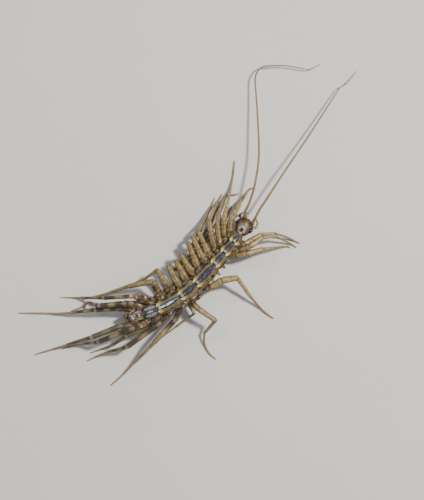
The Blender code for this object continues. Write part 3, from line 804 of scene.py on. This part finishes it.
def plate_finish():
    """Olive chitin with a spindle-shaped dark stripe, yellow spots and dark dotted sides, with
    painted sheen, highlights and shade.
    """
    paint = Paint("back_plate_chitin", 0.36, 0.08, 0.1)
    paint.shader.inputs["Specular IOR Level"].default_value = 0.32
    across = paint["across"]
    apart = abs(across)
    rear = paint["rear"]
    reach = paint["reach"]
    hind = paint["hind"]
    fine = paint.noise(0.16, 4.0)
    grain = fine - 0.5
    cloud = paint.clouds(OLIVE, PALE_OLIVE, 0.55, high=0.7)
    grey = paint.mix(fine.spread(0.3, 0.7), tint(74, 71, 64), tint(132, 126, 112))
    paint.lay(grey, hind * 0.75)

    # Dark dotted bands along the sides, set out near the margins where they also stand for painted
    # shade at the plate edges
    band = (abs(reach - 0.88) + fine * 0.3).spread(0.38, 0.16)
    speckle = paint.dots(0.34).spread(0.55, 0.3) * 0.7 + 0.3 + hind
    paint.lay(tint(44, 34, 26), band * speckle.least(1.0) * 0.8)
    blotch = paint.noise(0.85, 4.0) + across.spread(-1.2, 1.2, -0.05, 0.04)
    blotch = blotch.spread(0.47, 0.54) * abs(reach - 0.78).spread(0.26, 0.14)
    paint.lay(tint(26, 22, 20), blotch * 0.88)
    rim = reach.spread(0.945, 0.98) * cloud.spread(0.4, 0.55)
    paint.lay(tint(190, 164, 142), rim * 0.6)
    # Painted glints: pale specks towards the edges
    painted_glint = reach.spread(0.7, 0.95) * paint.noise(0.35).spread(0.58, 0.68)
    paint.lay(tint(210, 192, 172), painted_glint * 0.75)

    # The last plates: two grey cushions with dark borders, then mottled flesh
    cushion = paint["cushion"]
    paint.lay(tint(34, 31, 28), (cushion + fine * 0.5).spread(1.5, 1.3))
    pale = paint.mix(fine.spread(0.35, 0.6), tint(52, 50, 44), tint(150, 148, 136))
    paint.lay(pale, (cushion + fine * 0.4).spread(1.1, 0.85))
    flesh = paint.noise(0.3).ramp((0.36, tint(34, 28, 26)), (0.48, tint(98, 80, 66)),
                                  (0.58, tint(132, 110, 92)), (0.66, tint(208, 194, 184)))
    paint.lay(flesh, paint["fleshy"])

    # The yellow spots, each with a whitish hind end that is a painted highlight
    aside = (apart - 0.84 - (rear - 0.75) * 0.18) / paint["spot_width"]
    behind = (rear - paint["spot_place"]) / paint["spot_length"]
    spot = (aside * aside + behind * behind + grain * 0.7).spread(1.1, 0.45)
    yellow = rear.ramp((0.14, SPOT_HIGHLIGHT_CREAM), (0.3, LEMON), (0.7, tint(190, 170, 52)),
                       (1.0, tint(138, 120, 50)))
    paint.lay(yellow, spot * paint["spotted"])

    # The stripe down the middle, with a painted sheen: a blue-white painted reflection in its core
    # on the sixth and seventh plates
    width = paint["share"].ramp((0.0, 0.42), (0.12, 0.52), (0.36, 0.96), (0.62, 1.0),
                                (0.84, 0.68), (0.93, 0.62), (1.0, 0.5)) * paint["stripe"]
    stripe = (apart + grain * 0.16 - width).spread(0.04, -0.04)
    drawn_out = paint.node("CombineXYZ", rear * 0.0004, across * 0.0012, 0.0)
    streak = paint.noise(0.35, 4.0, Wire(paint, drawn_out.outputs[0]))
    inside = (apart - width * 0.6 + fine * 0.12).spread(0.12, -0.1)
    blue = paint.mix(streak.spread(0.48, 0.7) * inside, BLUE_BLACK, BLUE_GREY)
    core = (apart - width * 0.42 + fine * 0.2).spread(0.16, 0.0)
    painted_sheen = core * paint["painted_sheen"] * streak.spread(0.36, 0.62)
    paint.lay(paint.mix(painted_sheen, blue, PAINTED_SHEEN_WHITE), stripe)

    # The slit of the breathing hole, painted near black as painted shade in the opening, with a
    # painted highlight on its lips
    paint.lay(tint(224, 226, 230), paint["lip"])
    paint.lay(tint(14, 12, 12), paint["slit"])
    paint.lay(DARK_BROWN, paint["spine"])
    return paint.finish(fine + cloud * 0.6, 0.02, stripe.spread(0.0, 1.0, 0.46, 0.5))


def skin_finish():
    """Pinkish flesh between the plates and legs, with dark dots, painted glints on the swellings,
    and painted shade in the furrows, low on the sides and under the plate edges.
    """
    paint = Paint("body_skin", 0.45, 0.2, 0.2)
    fine = paint.noise(0.13, 4.0)
    paint.clouds(tint(66, 49, 35), tint(128, 104, 76), 0.7, 4.0, 0.4, 0.6)
    # Painted shade on the strip just outside the plate edges, under their overhang
    paint.lay(tint(58, 44, 32), paint["shade_under_plates"] * 0.6)
    # Painted glints: pale specks on the swellings round the leg roots
    painted_glint = (paint["lump"] * 0.1 + paint.noise(0.45)).spread(0.6, 0.68)
    paint.lay(tint(218, 202, 190), painted_glint * 0.85)
    # Dark dots, and painted shade in the furrows between the leg bases, both stronger low on the
    # sides where shade falls
    dots = paint.dots(0.55).spread(0.36, 0.24) * 0.75
    dark = dots.most(paint["furrow_shade"].spread(0.45, 0.95) * 0.7)
    paint.lay(DARK_BROWN, dark * paint["height"].spread(-0.7, -0.1, 0.25, 1.0))
    paint.lay(BROWN, paint["scar"])
    return paint.finish(fine, 0.02, fine.spread(0.3, 0.7, 0.35, 0.6))


def belly_finish():
    paint = Paint("belly_plate_chitin", 0.4, 0.2, 0.15)
    paint.clouds(tint(170, 140, 96), tint(200, 176, 136), 0.5)
    return paint.finish(paint.noise(0.15), 0.015)


def head_finish():
    """Chestnut brown, darker round the rim and along the seams, with a pale painted reflection
    ring on top round a dark core.
    """
    paint = Paint("head_chitin", 0.4, 0.12, 0.05)
    fine = paint.noise(0.14, 4.0)
    paint.clouds(tint(114, 92, 56), tint(88, 67, 40), 0.5)
    uneven = paint["rim"] + (fine - 0.5) * 0.4
    paint.lay(CHESTNUT, uneven.spread(0.55, 0.95))
    paint.lay(DARK_BROWN, uneven.spread(0.93, 1.1))
    paint.lay(DARK_BROWN, paint["seam"])
    paint.lay(tint(44, 28, 20), paint["mark"])
    paint.lay(tint(150, 118, 74), paint["mouth"])
    # Painted reflection: a broken pale ring on the back of the head, round a dark core
    paint.lay(tint(226, 222, 230), paint["painted_crown_reflection"] * paint.noise(0.5, 4.0).spread(0.38, 0.6))
    paint.lay(tint(44, 42, 52), paint["crown"])
    return paint.finish(fine, 0.012)


def mouth_finish():
    paint = Paint("mouth_chitin", 0.3, 0.3, 0.1)
    cloud = paint.clouds(tint(118, 94, 54), tint(148, 124, 76), 0.4)
    point = (paint["station"] / 4.0).spread(0.72, 1.0)
    paint.lay(paint.mix(cloud, CHESTNUT, DARK_BROWN), point)
    paint.lay(PALE_PINK, paint["membrane"])
    paint.lay(DARK_BROWN, paint["spine"])
    return paint.finish(paint.noise(0.12), 0.012)


def eye_finish():
    paint = Paint("eye_facets", 0.2, 0.3)
    paint.clouds(tint(26, 20, 18), tint(40, 28, 22), 0.25, low=0.4, high=0.7)
    paint.lay(tint(10, 8, 8), paint["facet"].spread(0.75, 1.0))
    return paint.finish()


def claw_finish():
    paint = Paint("claw_chitin", 0.3, 0.2)
    paint.colour = paint.mix(paint.noise(0.1), DARK_BROWN, BROWN)
    return paint.finish(paint.noise(0.05), 0.005)


def tail_finish():
    paint = Paint("tail_lobe_chitin", 0.5, 0.05)
    paint.clouds(tint(62, 48, 32), tint(108, 88, 56), 0.3)
    paint.lay(DARK_BROWN, paint["spine"])
    return paint.finish(paint.noise(0.1), 0.01)


def floor_finish():
    paint = Paint("pale_floor", 0.85)
    paint.colour = paint.mix(paint.noise(30.0), tint(208, 204, 199), tint(214, 211, 206))
    return paint.finish()


# Limbs

def sleeve(shape, start, end, radii, spare, station, rng=None):
    """One hard segment of a limb, with a raised rim at its far end and rows of thorns."""
    along = end - start
    length = along.length
    along.normalize()
    across, upward = limb_frame(along, spare)
    rings = []
    for share, swell in SLEEVE:
        radius = blend(*radii, share) * swell
        rings.append(section(start + along * (length * share), across * radius,
                             upward * radius * 0.95, 16, 0.035))
    shape.rings(rings, station=[station + 0.99 * share for share, swell in SLEEVE])
    if not rng:
        return
    for ridge in range(4):
        outward = turned(across, upward, pi / 2 * ridge)
        step = 0.12
        while step < length - 0.1:
            share = step / length
            root = start + along * step + outward * (blend(*radii, share) * 0.93)
            lean = rng.uniform(0.7, 1.3)
            tip = root + (outward * 0.55 + along * lean * 0.8) * rng.uniform(*THORN_LENGTHS)
            shape.thorn(root, tip, THORN_RADIUS, station=station + share, spine=1.0)
            step += rng.uniform(*THORN_GAPS)


def end_spines(shape, end, along, radius, spare, station, size):
    """The long spines round the far end of a segment."""
    for angle in END_SPINE_TURNS:
        outward = turned(*limb_frame(along, spare), radians(angle))
        root = end - along * 0.12 + outward * radius * 0.9
        tip = root + (outward * 0.45 + along * 0.9) * size
        shape.thorn(root, tip, END_SPINE_RADIUS, station=station, spine=0.7)


def knee(shape, spot, radius, station):
    """The soft joint between two hard segments."""
    axes = (Vector((1, 0, 0)), Vector((0, 1, 0)), UP)
    shape.egg(spot, (radius, radius, radius), axes, 12, 8, station=station, membrane=0.8)


def ringed_tube(shape, curve, pitch, radii, spare, stations, rng, bristles, groove=0.84):
    """A whip of many short rings, each a little wider at its far end."""
    points = even_steps(curve, pitch / 3)
    rings = []
    shares = [index / (len(points) - 1) for index in range(len(points))]
    spread = [blend(*stations, share) for share in shares]
    across = limb_frame(points[1] - points[0], spare)[0]
    for index, point in enumerate(points):
        before = points[max(index - 1, 0)]
        after = points[min(index + 1, len(points) - 1)]
        along = (after - before).normalized()
        across = (across - along * across.dot(along)).normalized()
        upward = across.cross(along)
        radius = through(radii, shares[index]) * (groove, 0.98, 1.04)[index % 3]
        if point.z < radius * 1.05:
            point = Vector((point.x, point.y, radius * 1.05))
        rings.append(section(point, across * radius, upward * radius, 10))
        for turn in bristles if index % 3 == 2 else ():
            outward = turned(across, upward, radians(turn + rng.uniform(-20, 20)))
            root = point + outward * radius * 0.85
            tip = root + (outward * 0.8 + along) * rng.uniform(*BRISTLE_LENGTHS)
            if tip.z > 0.02 and root.z > 0.02:
                shape.thorn(root, tip, BRISTLE_RADIUS, station=spread[index], spine=0.8)
    membranes = [0.0 if index % 3 else 0.7 for index in range(len(points))]
    shape.rings(rings, station=spread, membrane=membranes)
    return points


def leg_radii(leg):
    share = ((leg[1] - 1) / (len(STATIONS) - 1)) ** 1.5
    growth = STOUTNESS.get(leg, 1.0)
    radii = []
    for front, rear in zip(FRONT_SEGMENT_RADII, REAR_SEGMENT_RADII):
        radii.append([blend(first, last, share) * growth for first, last in zip(front, rear)])
    if leg in SWOLLEN_HIPS:
        radii[0] = SWOLLEN_RADII
    return radii


def leg_joints(leg):
    """The ends of the hard segments, and the route of the foot from there."""
    spot, direction = hip(leg)
    knuckle = spot + direction * KNUCKLE_REACH
    knees = [Vector(point) for point in LEG_ROUTES[leg]]
    if leg in FOLDED_LEGS:
        split = blend(knuckle, knees[0], THIGH_SPLIT)
        return [knuckle, split, knees[0], knees[1]], knees[1:]
    return [knuckle, *knees[:3]], knees[2:]


def make_leg(leg, finish, claws):
    side, number = leg
    rng = random.Random(100 * number + (side == "left"))
    shape = Shape("station", "top", "membrane", "spine")
    radii = leg_radii(leg)
    spot, direction = hip(leg)
    joints, foot = leg_joints(leg)
    spare = joints[-1] - joints[0]
    first = radii[0][0]
    sleeve(shape, spot - direction * KNUCKLE_REACH, joints[0] + direction * 0.08,
           (first * 0.9, first), spare, -0.4)
    for index, (start, end) in enumerate(zip(joints, joints[1:])):
        along = (end - start).normalized()
        start_radius, end_radius = radii[index]
        knee(shape, start, start_radius * KNEE_SWELL[index], index)
        inset = min(start_radius * 0.45, 0.2)
        sleeve(shape, start + along * inset * 0.4, end - along * inset * 0.3, radii[index], spare,
               index, rng)
        if index > 0:
            end_spines(shape, end, along, end_radius, spare, index + 0.9, END_SPINES[index])
    ankle, tip_radius = radii[3]
    knee(shape, joints[-1], ankle * 1.15, 3)
    route = [foot[0]] + [Vector((x, y, z if z > 0 else 0.1)) for x, y, z in foot[1:]]
    route[-1] -= (route[-1] - route[-2]).normalized() * CLAW_LENGTH
    taper = [ankle * share for share in TARSUS_TAPER] + [tip_radius]
    points = ringed_tube(shape, flowing(route, 8), RING_PITCH, taper, spare, (3.05, 3.98), rng,
                         FOOT_BRISTLES)
    reach = ROOT_REACH.get(leg, 0.28)
    shape.values["root"] = [smooth_step((reach - station) / 0.35 + 0.5)
                            for station in shape.values["station"]]
    for name, value in (("depth", ROOT_DEPTH.get(leg, 0.0)), ("dusk", DUSKINESS.get(leg, 0.0)),
                        ("tone", rng.random()),
                        ("ridge", float(side == "left" and number <= LAST_RIDGED_LEG))):
        shape.values[name] = [value] * len(shape.points)
    piece = shape.build(f"walking_leg_{side}_{number:02d}", finish)
    tip = points[-1]
    heading = (tip - points[-3]).normalized()
    root = Vector((tip.x, tip.y, CLAW_HEIGHT)) - heading * 0.06
    stops = []
    for share, radius in CLAW_TAPER:
        centre = root + heading * (CLAW_LENGTH * share)
        centre.z = CLAW_HEIGHT + 0.05 * sin(pi * share) - 0.06 * share * share
        stops.append((centre, radius))
    claws.tube(stops, limb_frame(heading, spare), 8)
    dress(piece, "banded_leg" if number >= FIRST_BANDED_LEG else "leg",
          f"leg_{side}_{number:02d}")


def make_legs():
    plain, half_banded, banded = (leg_finish(banding) for banding in (0.0, 0.35, 1.0))
    claws = Shape()
    for leg in LEG_ROUTES:
        finish = banded if leg[1] >= FIRST_BANDED_LEG else plain
        make_leg(leg, half_banded if leg in PALER_LEGS else finish, claws)
    dress(claws.build("claws", claw_finish()), "mouth")


def make_antenna(side, finish):
    """Three stout base segments and a long whip of fine rings."""
    rng = random.Random(7 if side == "left" else 8)
    shape = Shape("station", "membrane", "spine")
    socket = head_point(SOCKET_FORWARD, SOCKET_APART * SIGN[side], SOCKET_HEIGHT)
    stations = [Vector(point) for point in ANTENNA_ROUTES[side]]
    direction = (stations[0] - socket).normalized()
    end = socket + direction * SOCKET_REACH
    spare = Vector((1, 0, 0))
    for overlap, length, *radii in ANTENNA_BASE:
        start = end - direction * overlap
        end += direction * length
        sleeve(shape, start, end, radii, spare, 0.0)
    curve = flowing([end - direction * 0.1, *stations[1:]], 12)
    ringed_tube(shape, curve, ANTENNA_RING_PITCH, ANTENNA_RADII, spare, (0.02, 1.0), rng,
                ANTENNA_BRISTLES, 0.88)
    dress(shape.build(f"feeler_{side}", finish), "antenna", f"antenna_{side}")


def make_mouth_limb(kind, side, route, radii, finish):
    rng = random.Random(11)
    shape = Shape("station", "membrane", "spine")
    joints = [head_point(forward, left * SIGN[side], up) for forward, left, up in route]
    for index, (start, end) in enumerate(zip(joints, joints[1:])):
        last = index == len(joints) - 2
        radius = radii[index]
        knee(shape, start, radius * 0.85, index)
        if kind == "forcipule" and last:
            fang(shape, start, end, radius * 0.9, index)
        else:
            sleeve(shape, start, end, (radius, radii[index + 1] if last else radius * 0.92),
                   HEAD_AXES[0], index, rng)
    dress(shape.build(f"mouth_{kind}_{side}", finish), "mouth", f"{kind}_{side}")


def fang(shape, start, end, radius, station):
    """A smooth curved point."""
    across, upward = limb_frame((end - start).normalized(), HEAD_AXES[0])
    shares = [step / 8 for step in range(9)]
    stops = []
    for share in shares:
        centre = blend(start, end, share) + upward * (0.18 * sin(pi * share))
        stops.append((centre, radius * (1 - share) ** 0.7 + 0.015))
    shape.tube(stops, (across, upward), 12, station=[station + share for share in shares])


# Head

def head_paint(point):
    """Press the seams into the head and say how each point is coloured."""
    local = point - HEAD_CENTRE
    forward, left, up = (local.dot(axis) for axis in HEAD_AXES)
    out = Vector((forward / HEAD_RADII.x, left / HEAD_RADII.y, up / HEAD_RADII.z))
    rim = hypot(out.x, out.y)
    above = float(up > 0)
    back = bump(left, 0.0, 0.05) * smooth_step((0.3 - forward) / 0.2)
    arms = bump(forward - 0.75 * abs(left), 0.25, 0.06) * smooth_step((1.25 - abs(left)) / 0.3)
    seam = max(back, arms) * above
    mark = bump(left, 0.0, 0.35) * bump(forward, 1.85, 0.22) * (up > -0.4)
    for sign in SIGN.values():
        socket = head_point(SOCKET_FORWARD - 0.25, (SOCKET_APART - 0.35) * sign, 0.9)
        mark = max(mark, bump((point - socket).length, 0.0, 0.32))
    moved = point - out.normalized() * (0.07 * seam) - UP * (0.06 * bump(rim, 0.86, 0.08) * above)
    # Where the painted reflection ring and the dark core inside it lie
    crown = hypot(forward + CROWN_BEHIND, left * 1.15)
    return moved, {"rim": rim if up > -0.2 else 0.8, "seam": seam * 0.8, "mark": mark * 0.9,
                   "mouth": smooth_step((-0.35 - up) / 0.3) * 0.7,
                   "painted_crown_reflection": bump(crown, CROWN_REFLECTION_RADIUS, 0.2, 4) * above,
                   "crown": 0.9 * bump(crown, 0.0, CROWN_CORE, 4) * above}


def make_head():
    """The capsule with its feeler sockets, clypeus and lip, in one skin."""
    shape = Shape()
    shape.egg(HEAD_CENTRE, HEAD_RADII, HEAD_AXES, 48, 36)
    shape.egg(head_point(1.35, 0.0, -0.35), (0.8, 0.95, 0.6), HEAD_AXES, 24, 16)
    shape.egg(head_point(1.55, 0.0, -0.85), (0.45, 0.6, 0.3), HEAD_AXES, 20, 12)
    for side, sign in SIGN.items():
        socket = head_point(SOCKET_FORWARD, SOCKET_APART * sign, SOCKET_HEIGHT)
        direction = (Vector(ANTENNA_ROUTES[side][0]) - socket).normalized()
        stops = [(socket + direction * distance, radius) for distance, radius in SOCKET_RINGS]
        shape.tube(stops, limb_frame(direction, UP), 24)
        shape.egg(head_point(0.6, 1.35 * sign, -0.5), (0.9, 0.45, 0.6), HEAD_AXES, 20, 14)
    dress(fuse(shape, "head_capsule", head_finish(), HEAD_VOXEL, head_paint), "head", "head")


def make_eye(side, finish):
    """A dome of many small lenses."""
    lenses = []
    for index in range(LENSES):
        height = 1 - 2 * (index + 0.5) / LENSES
        turn = pi * (1 + sqrt(5)) * index
        reach = sqrt(1 - height * height)
        lenses.append(Vector((reach * cos(turn), reach * sin(turn), height)))
    tree = tree_of(lenses)
    segments, layers = 96, 64
    rings = []
    values = []
    for layer in range(1, layers):
        polar = pi * layer / layers
        ring = []
        for segment in range(segments):
            turn = 2 * pi * segment / segments
            sphere = Vector((-cos(polar), sin(polar) * cos(turn),
                             sin(polar) * sin(turn)))
            edge = min(tree.find(sphere)[2] / LENS_RADIUS, 1.0)
            ring.append(eye_point(side, sphere * EYE_RADII * (1.0 - LENS_BULGE * edge * edge)))
            values.append(edge)
        rings.append(ring)
    shape = Shape("facet")
    shape.loft(rings, facet=values)
    dress(shape.build(f"compound_eye_{side}", finish), "eye", f"eye_{side}")


# Trunk

def trunk_ring(distance):
    """One cross-section of the trunk, a little wider beside each pair of legs."""
    point, forward, left = spine_frame(distance)
    swell = 1.0 + 0.05 * cos(pi * min(from_station(distance) / 0.8, 1.0))
    taper = 1.0 - 0.35 * smooth_step(-distance / NECK_REACH)
    taper -= 0.3 * smooth_step((distance - TRUNK_LENGTH) / TAIL_REACH)
    width = trunk_half_width(min(max(distance, 0.0), TRUNK_LENGTH)) * 0.93 * swell * taper
    return section(point - UP * 0.06, left * width, UP * TRUNK_HALF_HEIGHT * 0.9 * taper, 40)[::-1]


def add_leg_base(shape, leg):
    """The side swelling of a leg station, the lobe over the leg's root and the root."""
    side, number = leg
    distance = STATIONS[number]
    point, forward, left = spine_frame(distance)
    outward = left * SIGN[side]
    axes = (forward, outward, UP)
    half_width = trunk_half_width(distance)
    knob = point + outward * (half_width + 0.12)
    knob.z = TRUNK_HEIGHT + 0.2
    shape.egg(knob, KNOB_RADII, axes, 16, 10)
    lost = leg not in LEG_ROUTES
    if not lost and leg not in SMALL_COXAE:
        reach = LOBE_REACH.get(leg, 0.4)
        lobe = point + outward * (half_width + reach * 0.85)
        lobe.z = HIP_HEIGHT - 0.1 - 0.3 * reach
        shape.egg(lobe, (0.54 * leg_pitch(number), reach + 0.25, 0.62), axes, 20, 12)
    inner = point + outward * (half_width * 0.6)
    inner.z = HIP_HEIGHT
    spot, direction = hip(leg)
    end = spot + direction * (LOST_LEG_REACH if lost else -0.02)
    radius = min(leg_radii(leg)[0][0], COXA_RADIUS_LIMIT)
    stops = []
    for share, swell in COXA_SWELL:
        size = radius * swell * (0.75 - 0.4 * share if lost else 1.0)
        stops.append((blend(inner, end, share), size))
    shape.tube(stops, limb_frame(direction, outward), 20)


def make_body_skin():
    """One skin over the trunk, its side swellings and all the leg bases."""
    shape = Shape()
    shape.rings([trunk_ring(blend(-NECK_REACH, TRUNK_LENGTH + TAIL_REACH, step / TRUNK_STEPS))
                 for step in range(TRUNK_STEPS + 1)])
    for leg in HIPS:
        add_leg_base(shape, leg)
    hips = tree_of([hip(leg)[0] for leg in HIPS])
    scars = [spot + direction * LOST_LEG_REACH
             for spot, direction in (hip(leg) for leg in HIPS if leg not in LEG_ROUTES)]
    spine = tree_of(SPINE)

    def paint(point):
        near = hips.find(point)[2]
        middle, index, reach = spine.find(Vector((point.x, point.y, TRUNK_HEIGHT)))
        distance = index * SPINE_STEP
        scar = max(bump((point - tip).length, 0.0, 0.3) for tip in scars)
        # Furrows between the leg bases, away from the spine, where painted shade lies
        furrow_shade = (1 - bump(from_station(distance), 0.0, 0.75)) * smooth_step(reach / 1.4)
        # The strip just outside the plate edges is where painted shade lies under their overhang
        return point, {"lump": bump(near, 0.15, 0.35), "furrow_shade": furrow_shade, "scar": scar,
                       "height": (point.z - TRUNK_HEIGHT) / TRUNK_HALF_HEIGHT,
                       "shade_under_plates": bump(reach - trunk_half_width(distance), 0.35, 0.3)}

    nodes = [f"trunk_{index + 1}" for index in range(len(PLATE_LENGTHS))]
    dress(fuse(shape, "body_skin", skin_finish(), SKIN_VOXEL, paint), "trunk", *nodes, "tail")


def plate_outline(share):
    """Half width of a plate as a share of its full width: rounded corners at both ends."""
    if share < 0.4:
        return 1 - 0.24 * ((0.4 - share) / 0.4) ** 2.4
    if share > 0.8:
        return 1 - 0.3 * ((share - 0.8) / 0.2) ** 2.6
    return 1.0


def plate_point(index, share, across):
    """A point of a plate's upper face and what is painted there."""
    start = plate_start(index)
    end = plate_start(index + 1) + PLATE_OVERLAP
    nominal = blend(start, end, share)
    offset = across * (trunk_half_width(nominal) + PLATE_OVERHANG) * plate_outline(share)
    notch = NOTCH_DEPTH * share ** 5 * bump(offset, 0.0, NOTCH_HALF_WIDTH)
    lobe = 0.16 * share ** 6 * sin(pi * min(abs(across) * 1.15, 1.0))
    brow = 0.18 * (1 - share) ** 4 * (1 - across * across)
    distance = nominal - notch + lobe - brow
    point, forward, left = spine_frame(distance)
    rear = end - distance
    groove = smooth_step((SLIT_LENGTH / 2 - abs(rear - 0.55)) / 0.12)
    # The slit, pressed in and painted dark as painted shade, and its lips, which carry a painted
    # highlight
    slit = bump(offset, 0.0, 0.055) * groove
    lip = bump(abs(offset), 0.17, 0.09) * groove
    height = TRUNK_HALF_HEIGHT + PLATE_RISE - PLATE_CROWN * across * across
    height += 0.14 * (share - 0.5) + 0.09 * bump(offset, 0.0, 0.34) * bump(rear, 0.5, 0.4)
    height += 0.03 * bump(abs(across), 1.0, 0.05) - 0.09 * slit
    cushion = 9.0
    if index == CUSHIONED_PLATE:
        cushion = hypot((share - 0.36) / 0.34, (abs(across) - 0.56) / 0.36)
        height += 0.1 * bump(cushion, 0.0, 1.0)
    height -= 0.06 * smooth_step((share - 0.93) / 0.07)
    # Painted sheen: the painted reflection in the stripe, faded towards the front and behind its
    # end share
    painted_sheen = PLATE_PAINTED_SHEEN[index] * smooth_step((PLATE_PAINTED_SHEEN_END[index] - share) / 0.3)
    painted_sheen *= smooth_step((share - 0.05) / 0.45)
    values = {"across": offset, "rear": rear, "share": share, "reach": abs(across),
              "lip": 0.9 * lip, "slit": slit, "painted_sheen": painted_sheen, "cushion": cushion}
    return point + left * offset + UP * height, values


def make_plate(index, finish):
    """A curved shield with a slit and a notch in the middle of its hind edge."""
    constants = {name: values[index] for name, values in PLATE_PAINT.items()}
    constants["spot_place"] = constants["spot_length"] * SPOT_PLACE
    length = PLATE_LENGTHS[index] + PLATE_OVERLAP
    rows = max(16, round(length / PLATE_ROW))
    rings = []
    stores = {}
    for row in range(rows + 1):
        upper, lower, painted = [], [], []
        for column in range(PLATE_COLUMNS + 1):
            across = 2 * column / PLATE_COLUMNS - 1
            point, values = plate_point(index, row / rows, across)
            upper.append(point)
            lower.append(point - UP * PLATE_THICKNESS * (1 - 0.6 * across ** 4))
            painted.append(values)
        rings.append(lower + upper[::-1])
        for values in painted + painted[::-1]:
            for name, value in values.items():
                stores.setdefault(name, []).append(value)
    shape = Shape(*stores, *constants, "spine")
    shape.loft(rings, **stores, **constants)
    bristle_plate(shape, index, length, constants)
    dress(shape.build(f"back_plate_{index + 1}", finish, 60), "trunk")


def bristle_plate(shape, index, length, constants):
    """Short spines along the sides of a plate and scattered over it."""
    rng = random.Random(40 + index)
    spots = []
    for sign in (-1, 1):
        step = 0.1
        while step < length:
            spots.append((step / length, sign * 0.985, 0.16))
            step += rng.uniform(0.16, 0.26)
    for extra in range(round(length * 16)):
        spots.append((rng.uniform(0.1, 0.9), rng.uniform(-0.9, 0.9), 0.11))
    for share, across, size in spots:
        root, values = plate_point(index, share, across)
        point, forward, left = spine_frame(plate_start(index) + share * length)
        outward = left * across * 0.8 - forward * 0.7 + UP * 0.45
        tip = root + outward * size * rng.uniform(0.8, 1.3)
        shape.thorn(root - UP * 0.02, tip, PLATE_BRISTLE_RADIUS, spine=0.8, **values, **constants)


def make_belly():
    """A small flat shield under each pair of legs."""
    shape = Shape()
    for distance in STATIONS.values():
        rings = []
        for step in range(9):
            share = step / 8
            point, forward, left = spine_frame(distance + (share - 0.5) * 1.3)
            half_width = trunk_half_width(distance) * 0.62 * (1 - 0.5 * abs(2 * share - 1) ** 3)
            centre = point - UP * (TRUNK_HALF_HEIGHT * 0.98)
            lift = 0.12 * sin(pi * (0.1 + 0.8 * share))
            rings.append(section(centre, left * half_width, UP * lift, 20)[::-1])
        shape.rings(rings)
    dress(shape.build("belly_plates", belly_finish()), "trunk")


def make_tail():
    """The two brown lobes behind the last plate."""
    shape = Shape("spine")
    rng = random.Random(5)
    point, forward, left = spine_frame(TRUNK_LENGTH + 0.45)
    for sign in SIGN.values():
        spot = point - forward * 0.38 + left * sign * 0.55
        shape.egg(spot, (0.72, 0.56, 0.24), (forward, left, UP), 20, 14)
        for extra in range(26):
            turn = rng.uniform(-1.4, 1.4)
            rise = rng.uniform(-0.8, 0.8)
            outward = (left * sin(turn) - forward * cos(turn) + UP * rise).normalized()
            root = spot + outward * 0.36
            tip = root + (outward - forward * 0.5) * 0.2
            shape.thorn(root, tip, PLATE_BRISTLE_RADIUS, spine=0.8)
    dress(shape.build("tail_lobes", tail_finish()), "trunk")


# Stage

def make_stage():
    mesh = bpy.data.meshes.new("floor")
    mesh.from_pydata([(-1, -1, 0), (1, -1, 0), (1, 1, 0), (-1, 1, 0)], [], [(0, 1, 2, 3)])
    mesh.materials.append(floor_finish())
    link("floor", mesh)


IMAGE_RIGHT = plan_direction(-PHOTO_TURN)
IMAGE_UP = plan_direction(90 - PHOTO_TURN)


def make_light(name, direction, distance, size, watts, colour):
    data = bpy.data.lights.new(name, "AREA")
    data.shape = "DISK"
    data.size = size * MM
    data.energy = watts
    data.color = colour
    light = link(name, data)
    direction = direction.normalized()
    light.location = place(PHOTO_CENTRE) + direction * distance * MM
    light.rotation_euler = direction.to_track_quat("Z", "Y").to_euler()


def make_lights():
    world = bpy.data.worlds.new("studio")
    world.use_nodes = True
    background = world.node_tree.nodes["Background"]
    background.inputs["Color"].default_value = (0.86, 0.92, 1.0, 1.0)
    background.inputs["Strength"].default_value = 0.42
    bpy.context.scene.world = world
    key_side = IMAGE_RIGHT * 0.46 + IMAGE_UP * 0.26 + UP
    fill_side = UP + IMAGE_UP * 0.5 - IMAGE_RIGHT * 0.4
    make_light("key", key_side, 500, 50, 3.3, (1.0, 0.96, 0.9))
    make_light("fill", fill_side, 800, 240, 1.0, (0.92, 0.96, 1.0))


def make_camera():
    data = bpy.data.cameras.new("camera")
    data.sensor_fit = "VERTICAL"
    data.lens = data.sensor_height * CAMERA_DISTANCE / PHOTO_FRAME_HEIGHT
    camera = link("camera", data)
    turn = Matrix((IMAGE_RIGHT, IMAGE_UP, UP)).transposed().to_4x4()
    camera.matrix_world = Matrix.Translation(place(PHOTO_CENTRE + UP * CAMERA_DISTANCE)) @ turn
    bpy.context.scene.camera = camera


def main():
    make_camera()
    make_lights()
    make_stage()
    make_body_skin()
    plates = plate_finish()
    for index in range(len(PLATE_LENGTHS)):
        make_plate(index, plates)
    make_belly()
    make_tail()
    make_head()
    eyes, feelers, mouth = eye_finish(), antenna_finish(), mouth_finish()
    for side in SIGN:
        make_eye(side, eyes)
        make_antenna(side, feelers)
        make_mouth_limb("palp", side, PALP_ROUTE, PALP_RADII, mouth)
        make_mouth_limb("forcipule", side, FORCIPULE_ROUTE, FORCIPULE_RADII, mouth)
    make_legs()


main()
